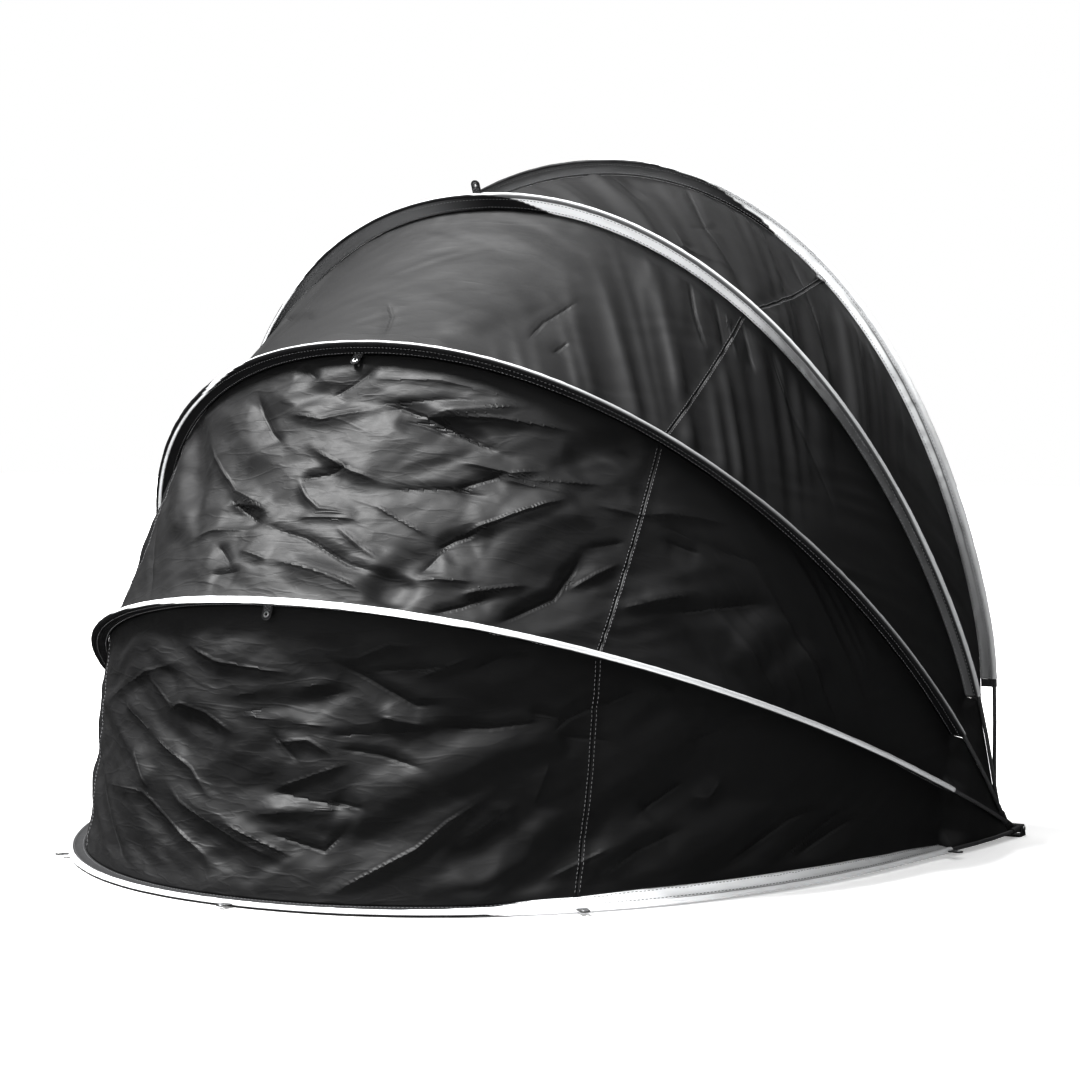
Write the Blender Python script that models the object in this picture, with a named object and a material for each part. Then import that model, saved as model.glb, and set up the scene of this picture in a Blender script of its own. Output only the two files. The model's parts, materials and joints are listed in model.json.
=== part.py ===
# Folding storage tent: five equal arches turn on one bolt at each side and carry a quarter-dome canopy.
# Metres, +Z up, front towards -Y, the hinge axis along X. The origin is under the middle of the part's box.

import math

import bmesh
import bpy
from mathutils import Matrix, Vector

# Arches, measured at the middle of the pole
half_width = 1.05
hoop_reach = 1.57
arch_power = 2.12
hoop_angles = {"hoop_1": 21.6, "hoop_2": 44.3, "hoop_3": 66.9, "rear_hoop": 87.3}
hinge_height = 0.018
ground_gap = 0.0003

# Poles and the way their feet fan out along the bolt
pole_diameter = 0.0095
pole_sides = 8
foot_pitch = 0.0145
fan_start = 0.060
fan_end = 0.50
foot_degrees = (2.5, 5.0, 8.0)

# Sleeves: a tunnel round the pole and a flat fin that runs in to the canopy's seam
sleeve_start_degrees = 11.5
seam_degrees = 54.3
side_steps = 10
middle_steps = 16
tunnel_clearance = 0.00125
sleeve_wall = 0.0009
fin_width = 0.032
fin_thickness = 0.0024

# Canopy panels
cloth_thickness = 0.0008
canopy_corner_degrees = 1.9
corner_inset = 0.0085
canopy_sag = 0.012
panel_rows = 5
rim_gap = 0.0005
fold_width = 0.100
fold_height = 0.014

# The main folds of each panel. A fold runs from one place to another, each in degrees along the hoops and as a
# share of the way up the panel, and the last number is its share of the full height, below 0 for a valley.
canopy_fold_shares = {
    "canopy_front": (
        (78, 0.34, 54, 0.85, 1.0), (61, 0.60, 46, 0.92, -0.8), (113, 0.42, 88, 0.10, -1.2),
        (105, 0.88, 86, 0.74, 0.7), (93, 0.36, 74, 0.32, -0.6), (63, 0.06, 53, 0.36, 0.9),
        (54, 0.08, 42, 0.48, 0.9), (45, 0.08, 34, 0.46, 0.8), (131, 0.62, 109, 0.10, 0.8)),
    "canopy_lower": (
        (96, 0.34, 78, 0.13, -0.7), (80, 0.05, 73, 0.36, -1.2), (87, 0.48, 74, 0.28, 0.6),
        (87, 0.82, 70, 0.68, 0.6), (121, 0.90, 111, 0.25, 0.8), (116, 0.90, 106, 0.30, -0.8),
        (66, 0.30, 54, 0.60, 0.7), (50, 0.20, 36, 0.55, 0.6)),
    "canopy_upper": (
        (74, 0.20, 70, 0.66, -0.7), (66, 0.92, 54, 0.40, 0.8), (59, 0.90, 48, 0.42, 0.8),
        (53, 0.88, 40, 0.48, 0.7), (98, 0.75, 86, 0.25, 0.6), (118, 0.80, 112, 0.25, -0.6)),
    "canopy_top": (
        (88, 0.88, 64, 0.16, 0.9), (79, 0.88, 56, 0.22, -0.8), (70, 0.88, 48, 0.28, 0.8),
        (60, 0.85, 40, 0.32, 0.6), (104, 0.70, 112, 0.25, 0.6)),
}

# Moulded ends of the poles
end_eye_radius = 0.010
end_eye_width = 0.0135
socket_radius = 0.0066
socket_start = 0.016
socket_end = 0.055
socket_clearance = 0.0006

# Hinge bolt, nut and bracket
bolt_diameter = 0.006
bolt_clearance = 0.0004
bolt_head_radius = 0.0060
bolt_head_height = 0.0035
nut_radius = 0.0060
nut_height = 0.0050
bracket_plate = 0.003
bracket_half_length = 0.022
ear_radius = 0.010

# Peg tabs, straps and eyelets
tab_length = 0.030
tab_width = 0.022
tab_thickness = 0.002
eyelet_bore = 0.0030
eyelet_hole = 0.0045
eyelet_flange = 0.0068
eyelet_metal = 0.0006
eyelet_from_tip = 0.0115
strap_width = 0.018
tab_above_seam = 0.004
bolt_crown_share = 0.6

seat_gap = 0.0003
overrun = 0.002
round_sides = 12
eyelet_sides = 8
half_side = 0.5

pole_radius = pole_diameter / 2
bolt_radius = bolt_diameter / 2
tunnel_radius = pole_radius + tunnel_clearance
sleeve_radius = tunnel_radius + sleeve_wall

# The section's corners, in degrees round the pole from straight outwards
face_degrees, shoulder_degrees, side_degrees, throat_degrees = 20, 60, 100, 150
tunnel_corner_degrees = (-side_degrees, -shoulder_degrees, -face_degrees,
                         face_degrees, shoulder_degrees, side_degrees)
throat_corner_degrees = (throat_degrees, 360 - throat_degrees)
sleeve_face = sleeve_radius * math.cos(math.radians(face_degrees))
sleeve_drop = sleeve_radius * math.sin(math.radians(side_degrees))

base_drop = math.asin((hinge_height - sleeve_drop - ground_gap) / hoop_reach)
front_reach = hoop_reach + sleeve_face + seat_gap + tab_length
hinge_y = (front_reach - bracket_half_length) / 2
hinge_point = Vector((0, hinge_y, hinge_height))

hoop_names = ("base_ring", "hoop_1", "hoop_2", "hoop_3", "rear_hoop")
panel_names = ("canopy_front", "canopy_lower", "canopy_upper", "canopy_top")
hoop_tilts = {"base_ring": -base_drop}
hoop_tilts.update({name: math.radians(angle) for name, angle in hoop_angles.items()})
foot_offsets = {name: foot_pitch * (2 - place) for place, name in enumerate(hoop_names)}

finishes = {
    "pole": ((0.05, 0.05, 0.052), 0.45, 0.0),
    "sleeve": ((0.62, 0.63, 0.64), 0.75, 0.0),
    "canopy": ((0.035, 0.035, 0.037), 0.70, 0.0),
    "moulding": ((0.03, 0.03, 0.032), 0.50, 0.0),
    "webbing": ((0.02, 0.02, 0.021), 0.85, 0.0),
    "steel": ((0.55, 0.56, 0.58), 0.35, 1.0),
}


def clear_scene():
    for item in list(bpy.data.objects):
        bpy.data.objects.remove(item)


def make_material(name):
    colour, roughness, metallic = finishes[name]
    material = bpy.data.materials.new(name)
    material.use_nodes = True
    shader = material.node_tree.nodes["Principled BSDF"]
    shader.inputs["Base Color"].default_value = (*colour, 1)
    shader.inputs["Roughness"].default_value = roughness
    shader.inputs["Metallic"].default_value = metallic
    return material


def make_empty(name, location, tilt=0.0):
    empty = bpy.data.objects.new(name, None)
    empty.location = location
    empty.rotation_euler.x = tilt
    bpy.context.collection.objects.link(empty)
    return empty


def add_object(name, mesh, finish, parent=None):
    item = bpy.data.objects.new(name, mesh)
    item.data.materials.clear()
    item.data.materials.append(bpy.data.materials[finish])
    item.parent = parent
    bpy.context.collection.objects.link(item)
    return item


def loft(name, rings, wrap=False):
    # Rings of equally many points are joined in turn. Without wrap the first and last are filled.
    mesh = bpy.data.meshes.new(name)
    work = bmesh.new()
    loops = [[work.verts.new(point) for point in ring] for ring in rings]
    count = len(rings[0])
    pairs = list(zip(loops, loops[1:]))
    if wrap:
        pairs.append((loops[-1], loops[0]))
    for low, high in pairs:
        for i in range(count):
            j = (i + 1) % count
            work.faces.new((low[i], low[j], high[j], high[i]))
    if not wrap:
        work.faces.new(loops[0])
        work.faces.new(loops[-1])
    bmesh.ops.recalc_face_normals(work, faces=work.faces)
    work.to_mesh(mesh)
    work.free()
    mesh.shade_smooth()
    mesh.set_sharp_from_angle(angle=math.radians(35))
    return mesh


def circle(radius, sides, turn=0.0):
    steps = [math.tau * (i + turn) / sides for i in range(sides)]
    return [(radius * math.cos(a), radius * math.sin(a)) for a in steps]


def hole_turn(sides):
    # The turn that starts a hole's corners just right of straight down, as its outline starts.
    return half_side - sides / 4


def arch_curve(value):
    return math.copysign(abs(value) ** (2 / arch_power), value)


def smooth_share(value):
    share = min(max(value, 0.0), 1.0)
    return share * share * (3 - 2 * share)


def arch_point(hoop, degrees):
    # Across from the centre line and out from the hinge axis, 0 degrees at the right foot.
    turn = math.radians(degrees)
    across = half_width * arch_curve(math.cos(turn))
    out = hoop_reach * arch_curve(math.sin(turn))
    held = 1 - smooth_share((out - fan_start) / (fan_end - fan_start))
    shift = foot_offsets[hoop] * held
    return Vector((across + (shift if across > 0 else -shift), out))


def arch_frame(hoop, degrees, step=0.5):
    # The pole's middle and the outward normal and tangent there, all in the hoop's own plane.
    ahead = arch_point(hoop, degrees + step)
    behind = arch_point(hoop, degrees - step)
    tangent = (ahead - behind).normalized()
    return arch_point(hoop, degrees), Vector((tangent.y, -tangent.x)), tangent


def in_plane(point, normal, outward, lift):
    # A point given by how far it lies outward of the pole and lifted out of the hoop's plane.
    place = point + normal * outward
    return Vector((place.x, -place.y, lift))


def foot_frame(hoop, side, out):
    return Vector((side * (half_width + foot_offsets[hoop]), out)), Vector((side, 0))


def sleeve_degrees():
    # Mouth to mouth, with a station at each seam and one at the top.
    side = [sleeve_start_degrees + (seam_degrees - sleeve_start_degrees) * i / side_steps for i in range(side_steps)]
    middle = [seam_degrees + (180 - 2 * seam_degrees) * i / middle_steps for i in range(middle_steps + 1)]
    return [*side, *middle, *(180 - d for d in reversed(side))]


def pole_stations(hoop):
    feet = (socket_start + bolt_clearance, fan_start)
    right = [foot_frame(hoop, 1, out) for out in feet]
    left = [foot_frame(hoop, -1, out) for out in reversed(feet)]
    degrees = [*foot_degrees, *sleeve_degrees(), *(180 - d for d in reversed(foot_degrees))]
    return [*right, *(arch_frame(hoop, d)[:2] for d in degrees), *left]


def make_pole(hoop, frame):
    section = circle(pole_radius, pole_sides, half_side)
    rings = [[in_plane(p, n, a, w) for a, w in section] for p, n in pole_stations(hoop)]
    return add_object(f"{hoop}_pole", loft(f"{hoop}_pole", rings), "pole", frame)


def sleeve_sections():
    outer = [(sleeve_radius * math.cos(math.radians(d)), sleeve_radius * math.sin(math.radians(d)))
             for d in tunnel_corner_degrees]
    outer += [(-fin_width, fin_thickness / 2), (-fin_width, -fin_thickness / 2)]
    inner = [(tunnel_radius * math.cos(math.radians(d)), tunnel_radius * math.sin(math.radians(d)))
             for d in (*tunnel_corner_degrees, *throat_corner_degrees)]
    return outer, inner


def make_sleeve(hoop, frame):
    outer, inner = sleeve_sections()
    stations = [arch_frame(hoop, d)[:2] for d in sleeve_degrees()]
    skin = [[in_plane(p, n, a, w) for a, w in outer] for p, n in stations]
    bore = [[in_plane(p, n, a, w) for a, w in inner] for p, n in reversed(stations)]
    return add_object(f"{hoop}_sleeve", loft(f"{hoop}_sleeve", skin + bore, wrap=True), "sleeve", frame)


def seam_point(hoop, degrees, lift):
    # The canopy's edge: at the fin along the sleeve and close to the pole below it. At the rear, where straps
    # hold it, it runs straight on and meets the pole at the corner alone.
    close, loose = (canopy_corner_degrees, foot_degrees[1]) if hoop == "rear_hoop" else (foot_degrees[2], sleeve_start_degrees)
    bare = 1 - smooth_share((min(degrees, 180 - degrees) - close) / (loose - close))
    inset = fin_width + seat_gap + (corner_inset - fin_width) * bare
    point, normal, _ = arch_frame(hoop, degrees)
    local = in_plane(point, normal, -inset, lift)
    return Matrix.Rotation(-hoop_tilts[hoop], 3, "X") @ local


def canopy_degrees():
    near_foot = (canopy_corner_degrees, *foot_degrees[1:])
    return [*near_foot, *sleeve_degrees(), *(180 - d for d in reversed(near_foot))]


def panel_point(start, end, share, degrees):
    # Straight from seam to seam and drawn in a little halfway.
    middle = (start + end) / 2
    inward = -Vector((0, middle.y, middle.z)).normalized()
    depth = canopy_sag * math.sin(math.radians(degrees)) * 4 * share * (1 - share)
    return start.lerp(end, share) + inward * depth


def fold_lines(name, lower, upper):
    lines = []
    for from_degrees, from_share, to_degrees, to_share, height_share in canopy_fold_shares[name]:
        ends = [panel_point(seam_point(lower, degrees, 0), seam_point(upper, degrees, 0), share, degrees)
                for degrees, share in ((from_degrees, from_share), (to_degrees, to_share))]
        lines.append((*ends, fold_height * height_share))
    return lines


def folded_height(place, lines):
    total = 0.0
    for start, end, height in lines:
        run = end - start
        along = min(max((place - start).dot(run) / run.length_squared, 0), 1)
        total += height * (1 - smooth_share((place - start - run * along).length / fold_width))
    return total


def make_panel(name, lower, upper, hinge):
    # A curved sheet from seam to seam, raised and sunk along its folds, given its thickness inwards.
    mesh = bpy.data.meshes.new(name)
    work = bmesh.new()
    degrees = canopy_degrees()
    starts = [seam_point(lower, d, rim_gap) for d in degrees]
    ends = [seam_point(upper, d, -rim_gap) for d in degrees]
    shares = [i / panel_rows for i in range(panel_rows + 1)]
    rows = [[work.verts.new(panel_point(start, end, share, d)) for share in shares]
            for start, end, d in zip(starts, ends, degrees)]
    for row, following in zip(rows, rows[1:]):
        for i in range(panel_rows):
            work.faces.new((row[i], row[i + 1], following[i + 1], following[i]))
    work.normal_update()
    top = max(work.faces, key=lambda face: face.calc_center_median().length)
    if top.normal.dot(top.calc_center_median()) < 0:
        bmesh.ops.reverse_faces(work, faces=work.faces)
        work.normal_update()
    lines = fold_lines(name, lower, upper)
    for row in rows:
        for vert in row[1:-1]:
            vert.co += vert.normal * folded_height(vert.co, lines)
    work.to_mesh(mesh)
    work.free()
    mesh.shade_smooth()
    panel = add_object(name, mesh, "canopy", hinge)
    wall = panel.modifiers.new("cloth", "SOLIDIFY")
    wall.thickness = cloth_thickness
    wall.offset = -1
    return panel


def boolean_mesh(name, base, steps):
    # Joins or cuts meshes in turn and returns the mesh that comes out.
    item = bpy.data.objects.new(name, base)
    bpy.context.collection.objects.link(item)
    tools = []
    for number, (operation, mesh) in enumerate(steps):
        tool = bpy.data.objects.new(f"{name}_tool_{number}", mesh)
        bpy.context.collection.objects.link(tool)
        change = item.modifiers.new(f"step_{number}", "BOOLEAN")
        change.operation = operation
        change.object = tool
        tools.append(tool)
    view = bpy.context.evaluated_depsgraph_get()
    made = bpy.data.meshes.new_from_object(item.evaluated_get(view))
    for spare in (item, *tools):
        bpy.data.objects.remove(spare)
    made.materials.clear()
    made.shade_smooth()
    made.set_sharp_from_angle(angle=math.radians(35))
    return made


def rod_mesh(name, along, radius, start, end, sides):
    # A round bar between two places on the X axis or the hoop's own out direction.
    ring = circle(radius, sides, half_side)
    if along == "X":
        rings = [[(place, a, b) for a, b in ring] for place in (start, end)]
    else:
        rings = [[(a, -place, b) for a, b in ring] for place in (start, end)]
    return loft(name, rings)


def end_fitting_mesh():
    eye = rod_mesh("eye", "X", end_eye_radius, -end_eye_width / 2, end_eye_width / 2, round_sides)
    socket = rod_mesh("socket", "out", socket_radius, end_eye_radius / 2, socket_end, round_sides)
    bolt_hole = rod_mesh("bolt_hole", "X", bolt_radius + bolt_clearance,
                         -end_eye_width, end_eye_width, round_sides)
    pole_bore = rod_mesh("pole_bore", "out", pole_radius + socket_clearance,
                         socket_start, socket_end + overrun, pole_sides)
    steps = (("UNION", socket), ("DIFFERENCE", bolt_hole), ("DIFFERENCE", pole_bore))
    return boolean_mesh("end_fitting", eye, steps)


def make_ends(hoop, mesh, frame):
    for label, side in (("right", 1), ("left", -1)):
        fitting = add_object(f"{hoop}_end_{label}", mesh.copy(), "moulding", frame)
        fitting.location.x = side * (half_width + foot_offsets[hoop])


def ear_outline(sides):
    # Flat on the ground plate and round about the bolt.
    arc = [math.pi * i / (sides - 3) for i in range(sides - 2)]
    top = [(ear_radius * math.cos(a), hinge_height + ear_radius * math.sin(a)) for a in arc]
    return [(bracket_half_length, bracket_plate / 2), *top, (-bracket_half_length, bracket_plate / 2)]


def ear_mesh(name, start, end):
    sides = round_sides + 2
    outline = ear_outline(sides)
    radius = bolt_radius + bolt_clearance
    hole = [(y, hinge_height + z) for y, z in circle(radius, sides, hole_turn(sides))]
    rings = [[(x, y, z) for y, z in loop]
             for x, loop in ((start, outline), (end, outline), (end, hole), (start, hole))]
    return loft(name, rings, wrap=True)


def stack_sides():
    # Where the stack of eyes starts and ends, outwards from the centre line.
    half_stack = 2 * foot_pitch + end_eye_width / 2 + seat_gap
    return half_width - half_stack, half_width + half_stack


def bracket_mesh():
    inner, outer = stack_sides()
    low, high = inner - bracket_plate, outer + bracket_plate
    plate = [(y, z) for y, z in ((-bracket_half_length, 0), (bracket_half_length, 0),
                                 (bracket_half_length, bracket_plate), (-bracket_half_length, bracket_plate))]
    base = loft("plate", [[(x, y, z) for y, z in plate] for x in (low, high)])
    steps = (("UNION", ear_mesh("inner_ear", low, inner)), ("UNION", ear_mesh("outer_ear", outer, high)))
    return boolean_mesh("bracket", base, steps)


def bolt_mesh():
    inner, outer = stack_sides()
    head = outer + bracket_plate + seat_gap
    tip = inner - bracket_plate - seat_gap - nut_height - bolt_radius
    crown = bolt_head_radius * bolt_crown_share
    profile = ((head + bolt_head_height, crown), (head + bolt_head_height / 2, bolt_head_radius),
               (head, bolt_head_radius), (head, bolt_radius), (tip, bolt_radius))
    rings = [[(x, a, b) for a, b in circle(radius, round_sides, half_side)] for x, radius in profile]
    return loft("bolt", rings)


def nut_mesh():
    inner, _ = stack_sides()
    near = inner - bracket_plate - seat_gap
    outline = circle(nut_radius, 6)
    hole = circle(bolt_radius + bolt_clearance, 6)
    loops = ((near, outline), (near - nut_height, outline), (near - nut_height, hole), (near, hole))
    return loft("nut", [[(x, a, b) for a, b in loop] for x, loop in loops], wrap=True)


def mirrored(mesh):
    flipped = mesh.copy()
    flipped.transform(Matrix.Scale(-1, 4, (1, 0, 0)))
    flipped.flip_normals()
    return flipped


def make_hinges(hinge, ground):
    for name, mesh, finish, parent in (
            ("hinge_bracket", bracket_mesh(), "moulding", ground),
            ("hinge_bolt", bolt_mesh(), "steel", hinge),
            ("hinge_nut", nut_mesh(), "steel", hinge)):
        add_object(f"{name}_right", mesh, finish, parent)
        add_object(f"{name}_left", mirrored(mesh), finish, parent)


def tab_mesh(length, width, hole_radius):
    # A webbing tongue along +Y from its root, rounded at the tip, with a hole for the eyelet.
    sides = round_sides
    middle = length - eyelet_from_tip
    arc = [math.pi * i / (sides - 3) for i in range(sides - 2)]
    tip = [(width / 2 * math.cos(a), middle + eyelet_from_tip * math.sin(a)) for a in arc]
    outline = [(width / 2, 0), *tip, (-width / 2, 0)]
    hole = [(x, middle + y) for x, y in circle(hole_radius, sides, hole_turn(sides))]
    half = tab_thickness / 2
    loops = ((half, outline), (-half, outline), (-half, hole), (half, hole))
    return loft("tab", [[(x, y, z) for x, y in loop] for z, loop in loops], wrap=True)


def strap_mesh(length):
    half = tab_thickness / 2
    outline = [(strap_width / 2, 0), (strap_width / 2, length), (-strap_width / 2, length), (-strap_width / 2, 0)]
    return loft("strap", [[(x, y, z) for x, y in outline] for z in (half, -half)])


def eyelet_mesh():
    middle = tab_length - eyelet_from_tip
    inside = tab_thickness / 2 + seat_gap
    outside = inside + eyelet_metal
    barrel = eyelet_hole * math.cos(math.pi / round_sides) - seat_gap
    profile = ((eyelet_bore, -outside), (eyelet_flange, -outside), (eyelet_flange, -inside), (barrel, -inside),
               (barrel, inside), (eyelet_flange, inside), (eyelet_flange, outside), (eyelet_bore, outside))
    rings = [[(a, middle + b, z) for a, b in circle(radius, eyelet_sides)] for radius, z in profile]
    return loft("eyelet", rings, wrap=True)


def place_on_hoop(item, hoop, degrees, outward, lift, way, shift=0.0):
    # Sets an object's +Y along way, which is out, in or down off the hoop, and its +X along the tangent.
    point, normal, tangent = arch_frame(hoop, degrees)
    place = in_plane(point + tangent * shift, normal, outward, lift)
    side = Vector((tangent.x, -tangent.y, 0))
    out = Vector((normal.x, -normal.y, 0))
    ahead = {"out": out, "in": -out, "down": Vector((0, 0, -1))}[way]
    up = side.cross(ahead)
    turn = Matrix((side, ahead, up)).transposed().to_4x4()
    item.matrix_local = Matrix.Translation(place) @ turn


def tab_places():
    half = tab_width / 2
    seam, start = seam_degrees, sleeve_start_degrees
    return (
        ("base_ring_tab_right_end", "base_ring", start, "out", half),
        ("base_ring_tab_right", "base_ring", seam, "out", 0.0),
        ("base_ring_tab_front", "base_ring", 90.0, "out", 0.0),
        ("base_ring_tab_left", "base_ring", 180 - seam, "out", 0.0),
        ("base_ring_tab_left_end", "base_ring", 180 - start, "out", -half),
        ("hoop_1_tab", "hoop_1", 90.0, "down", 0.0),
        ("hoop_2_tab", "hoop_2", 90.0, "down", 0.0),
        ("hoop_3_tab", "hoop_3", 90.0, "out", 0.0),
        ("rear_hoop_tab_right", "rear_hoop", seam, "down", 0.0),
        ("rear_hoop_tab_left", "rear_hoop", 180 - seam, "down", 0.0),
    )


def make_tabs(frames):
    tab = tab_mesh(tab_length, tab_width, eyelet_hole)
    eyelet = eyelet_mesh()
    hang = fin_width - tab_above_seam
    slope = (sleeve_drop - fin_thickness / 2) / fin_width
    lift = -(sleeve_drop - hang * slope) - seat_gap - slope * tab_thickness
    for name, hoop, degrees, way, shift in tab_places():
        outward, raised = (sleeve_face + seat_gap, 0.0) if way == "out" else (-hang, lift)
        for label, mesh, finish in ((name, tab, "webbing"), (name.replace("tab", "eyelet"), eyelet, "steel")):
            item = add_object(label, mesh.copy(), finish, frames[hoop])
            place_on_hoop(item, hoop, degrees, outward, raised, way, shift)


def make_straps(frames):
    # Each strap ties the canopy's edge to the bare pole just below the rear sleeve's mouth.
    root = pole_radius + seat_gap
    strap = strap_mesh(fin_width - root - seat_gap)
    shift = strap_width / 2 + seat_gap
    for label, degrees, sign in (("right", sleeve_start_degrees, -1), ("left", 180 - sleeve_start_degrees, 1)):
        item = add_object(f"rear_hoop_strap_{label}", strap.copy(), "webbing", frames["rear_hoop"])
        place_on_hoop(item, "rear_hoop", degrees, -root, 0.0, "in", sign * shift)


def build():
    clear_scene()
    for name in finishes:
        make_material(name)
    ground = make_empty("ground", (0, hinge_y, 0))
    hinge = make_empty("hinge_axis", hinge_point)
    frames = {name: make_empty(f"{name}_frame", hinge_point, -hoop_tilts[name]) for name in hoop_names}
    fitting = end_fitting_mesh()
    for name in hoop_names:
        make_pole(name, frames[name])
        make_sleeve(name, frames[name])
        make_ends(name, fitting, frames[name])
    for name, lower, upper in zip(panel_names, hoop_names, hoop_names[1:]):
        make_panel(name, lower, upper, hinge)
    make_hinges(hinge, ground)
    make_tabs(frames)
    make_straps(frames)
    print("hinge axis at y", round(hinge_y, 5), "z", hinge_height)


build()
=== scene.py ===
import json
import math

import bmesh
import bpy
import numpy as np
from mathutils import Matrix, Vector

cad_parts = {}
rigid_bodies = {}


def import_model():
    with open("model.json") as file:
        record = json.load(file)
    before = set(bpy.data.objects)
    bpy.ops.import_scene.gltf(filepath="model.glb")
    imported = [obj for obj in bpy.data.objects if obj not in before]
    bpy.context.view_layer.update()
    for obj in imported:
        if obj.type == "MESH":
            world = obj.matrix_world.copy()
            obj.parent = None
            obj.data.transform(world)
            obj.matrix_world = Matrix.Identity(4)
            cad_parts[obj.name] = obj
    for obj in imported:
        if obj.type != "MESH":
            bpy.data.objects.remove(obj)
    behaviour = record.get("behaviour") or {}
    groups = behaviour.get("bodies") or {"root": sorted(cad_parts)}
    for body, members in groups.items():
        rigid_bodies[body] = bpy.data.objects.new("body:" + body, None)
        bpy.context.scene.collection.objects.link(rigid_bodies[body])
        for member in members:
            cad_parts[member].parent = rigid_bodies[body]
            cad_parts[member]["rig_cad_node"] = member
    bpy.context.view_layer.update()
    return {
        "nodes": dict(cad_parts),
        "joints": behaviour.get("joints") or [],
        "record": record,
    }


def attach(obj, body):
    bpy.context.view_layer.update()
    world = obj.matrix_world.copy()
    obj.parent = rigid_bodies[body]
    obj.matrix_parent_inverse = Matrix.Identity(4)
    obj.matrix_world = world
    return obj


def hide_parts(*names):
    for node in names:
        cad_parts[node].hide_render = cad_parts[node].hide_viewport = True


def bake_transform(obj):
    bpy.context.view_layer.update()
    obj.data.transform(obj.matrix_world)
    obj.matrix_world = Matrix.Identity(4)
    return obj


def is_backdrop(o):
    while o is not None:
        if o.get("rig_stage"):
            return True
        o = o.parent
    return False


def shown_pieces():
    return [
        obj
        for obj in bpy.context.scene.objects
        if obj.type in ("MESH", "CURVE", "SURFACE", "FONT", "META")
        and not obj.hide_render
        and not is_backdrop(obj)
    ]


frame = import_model()
print("frame loaded:", len(frame["nodes"]), "nodes")

hinge = np.array(frame["joints"][0]["pos_m"], float)

# The arches, as the frame has them. Metres and degrees, 0 degrees at the right foot.
arch = {
    "halfWidth": 1.05, "reach": 1.57, "power": 2.12,
    "angles": {"hoop_1": 21.6, "hoop_2": 44.3, "hoop_3": 66.9, "rear_hoop": 87.3},
    "footPitch": 0.0145, "fanStart": 0.060, "fanEnd": 0.50,
    "sleeveStart": 11.5, "seam": 54.3,
    "tunnel": 0.0069, "fin": 0.032, "finHalf": 0.0012, "seatGap": 0.0003,
    "corner": 1.9, "bareInset": 0.0056, "edge": (8.0, 11.5), "mouth": (11.1, 11.5), "rearEdge": (1.9, 5.0),
    "sag": 0.012, "groundGap": 0.0003, "throat": 0.005, "lowestCorner": 100,
}
hoopNames = ("base_ring", "hoop_1", "hoop_2", "hoop_3", "rear_hoop")
panelNames = ("canopy_front", "canopy_lower", "canopy_upper", "canopy_top")
sleeveDrop = arch["tunnel"] * math.sin(math.radians(arch["lowestCorner"]))
baseDrop = math.asin((hinge[2] - sleeveDrop - arch["groundGap"]) / arch["reach"])
hoopTilts = {"base_ring": -baseDrop, **{k: math.radians(v) for k, v in arch["angles"].items()}}
footOffsets = {name: arch["footPitch"] * (2 - i) for i, name in enumerate(hoopNames)}
seamDegrees = arch["seam"]


def smooth(value):
    share = np.clip(value, 0, 1)
    return share * share * (3 - 2 * share)


def tableAt(table, degrees):
    # a table of (degrees, value) pairs, read smoothly between them
    spots = np.array(table, float)
    place = np.clip(np.searchsorted(spots[:, 0], degrees) - 1, 0, len(spots) - 2)
    a, b = spots[place], spots[place + 1]
    return a[..., 1] + (b[..., 1] - a[..., 1]) * smooth((degrees - a[..., 0]) / (b[..., 0] - a[..., 0]))


def archCurve(value):
    return np.sign(value) * np.abs(value) ** (2 / arch["power"])


def archPoint(hoop, degrees):
    turn = np.radians(degrees)
    across = arch["halfWidth"] * archCurve(np.cos(turn))
    out = arch["reach"] * archCurve(np.sin(turn))
    held = 1 - smooth((out - arch["fanStart"]) / (arch["fanEnd"] - arch["fanStart"]))
    return np.stack([across + np.where(across > 0, 1, -1) * footOffsets[hoop] * held, out], -1)


def archFrame(hoop, degrees, step=0.5):
    tangent = archPoint(hoop, degrees + step) - archPoint(hoop, degrees - step)
    tangent /= np.linalg.norm(tangent, axis=-1, keepdims=True)
    return archPoint(hoop, degrees), np.stack([tangent[..., 1], -tangent[..., 0]], -1), tangent


def inSpace(hoop, across, out, lift):
    # from the hoop's own plane to the place it has at rest
    tilt = hoopTilts[hoop]
    y = -out * math.cos(tilt) + lift * math.sin(tilt)
    z = out * math.sin(tilt) + lift * math.cos(tilt)
    return hinge + np.stack([across, y, z], -1)


def hoopPlace(hoop, degrees, outward=0.0, lift=0.0):
    point, normal, _ = archFrame(hoop, degrees)
    spot = point + normal * np.asarray(outward)[..., None]
    return inSpace(hoop, spot[..., 0], spot[..., 1], lift)


def placeMatrix(hoop, degrees, outward, lift, way, shift=0.0):
    # a piece modelled along +Y is set with its +Y out, in or down off the hoop
    point, normal, tangent = archFrame(hoop, np.array(degrees, float))
    spot = point + tangent * shift + normal * outward
    place = Vector(inSpace(hoop, spot[0], spot[1], lift))
    turn = Matrix.Rotation(-hoopTilts[hoop], 3, "X")
    side = turn @ Vector((tangent[0], -tangent[1], 0))
    away = turn @ Vector((normal[0], -normal[1], 0))
    ahead = {"out": away, "in": -away, "down": turn @ Vector((0, 0, -1))}[way]
    return Matrix.Translation(place) @ Matrix((side, ahead, side.cross(ahead))).transposed().to_4x4()


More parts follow.
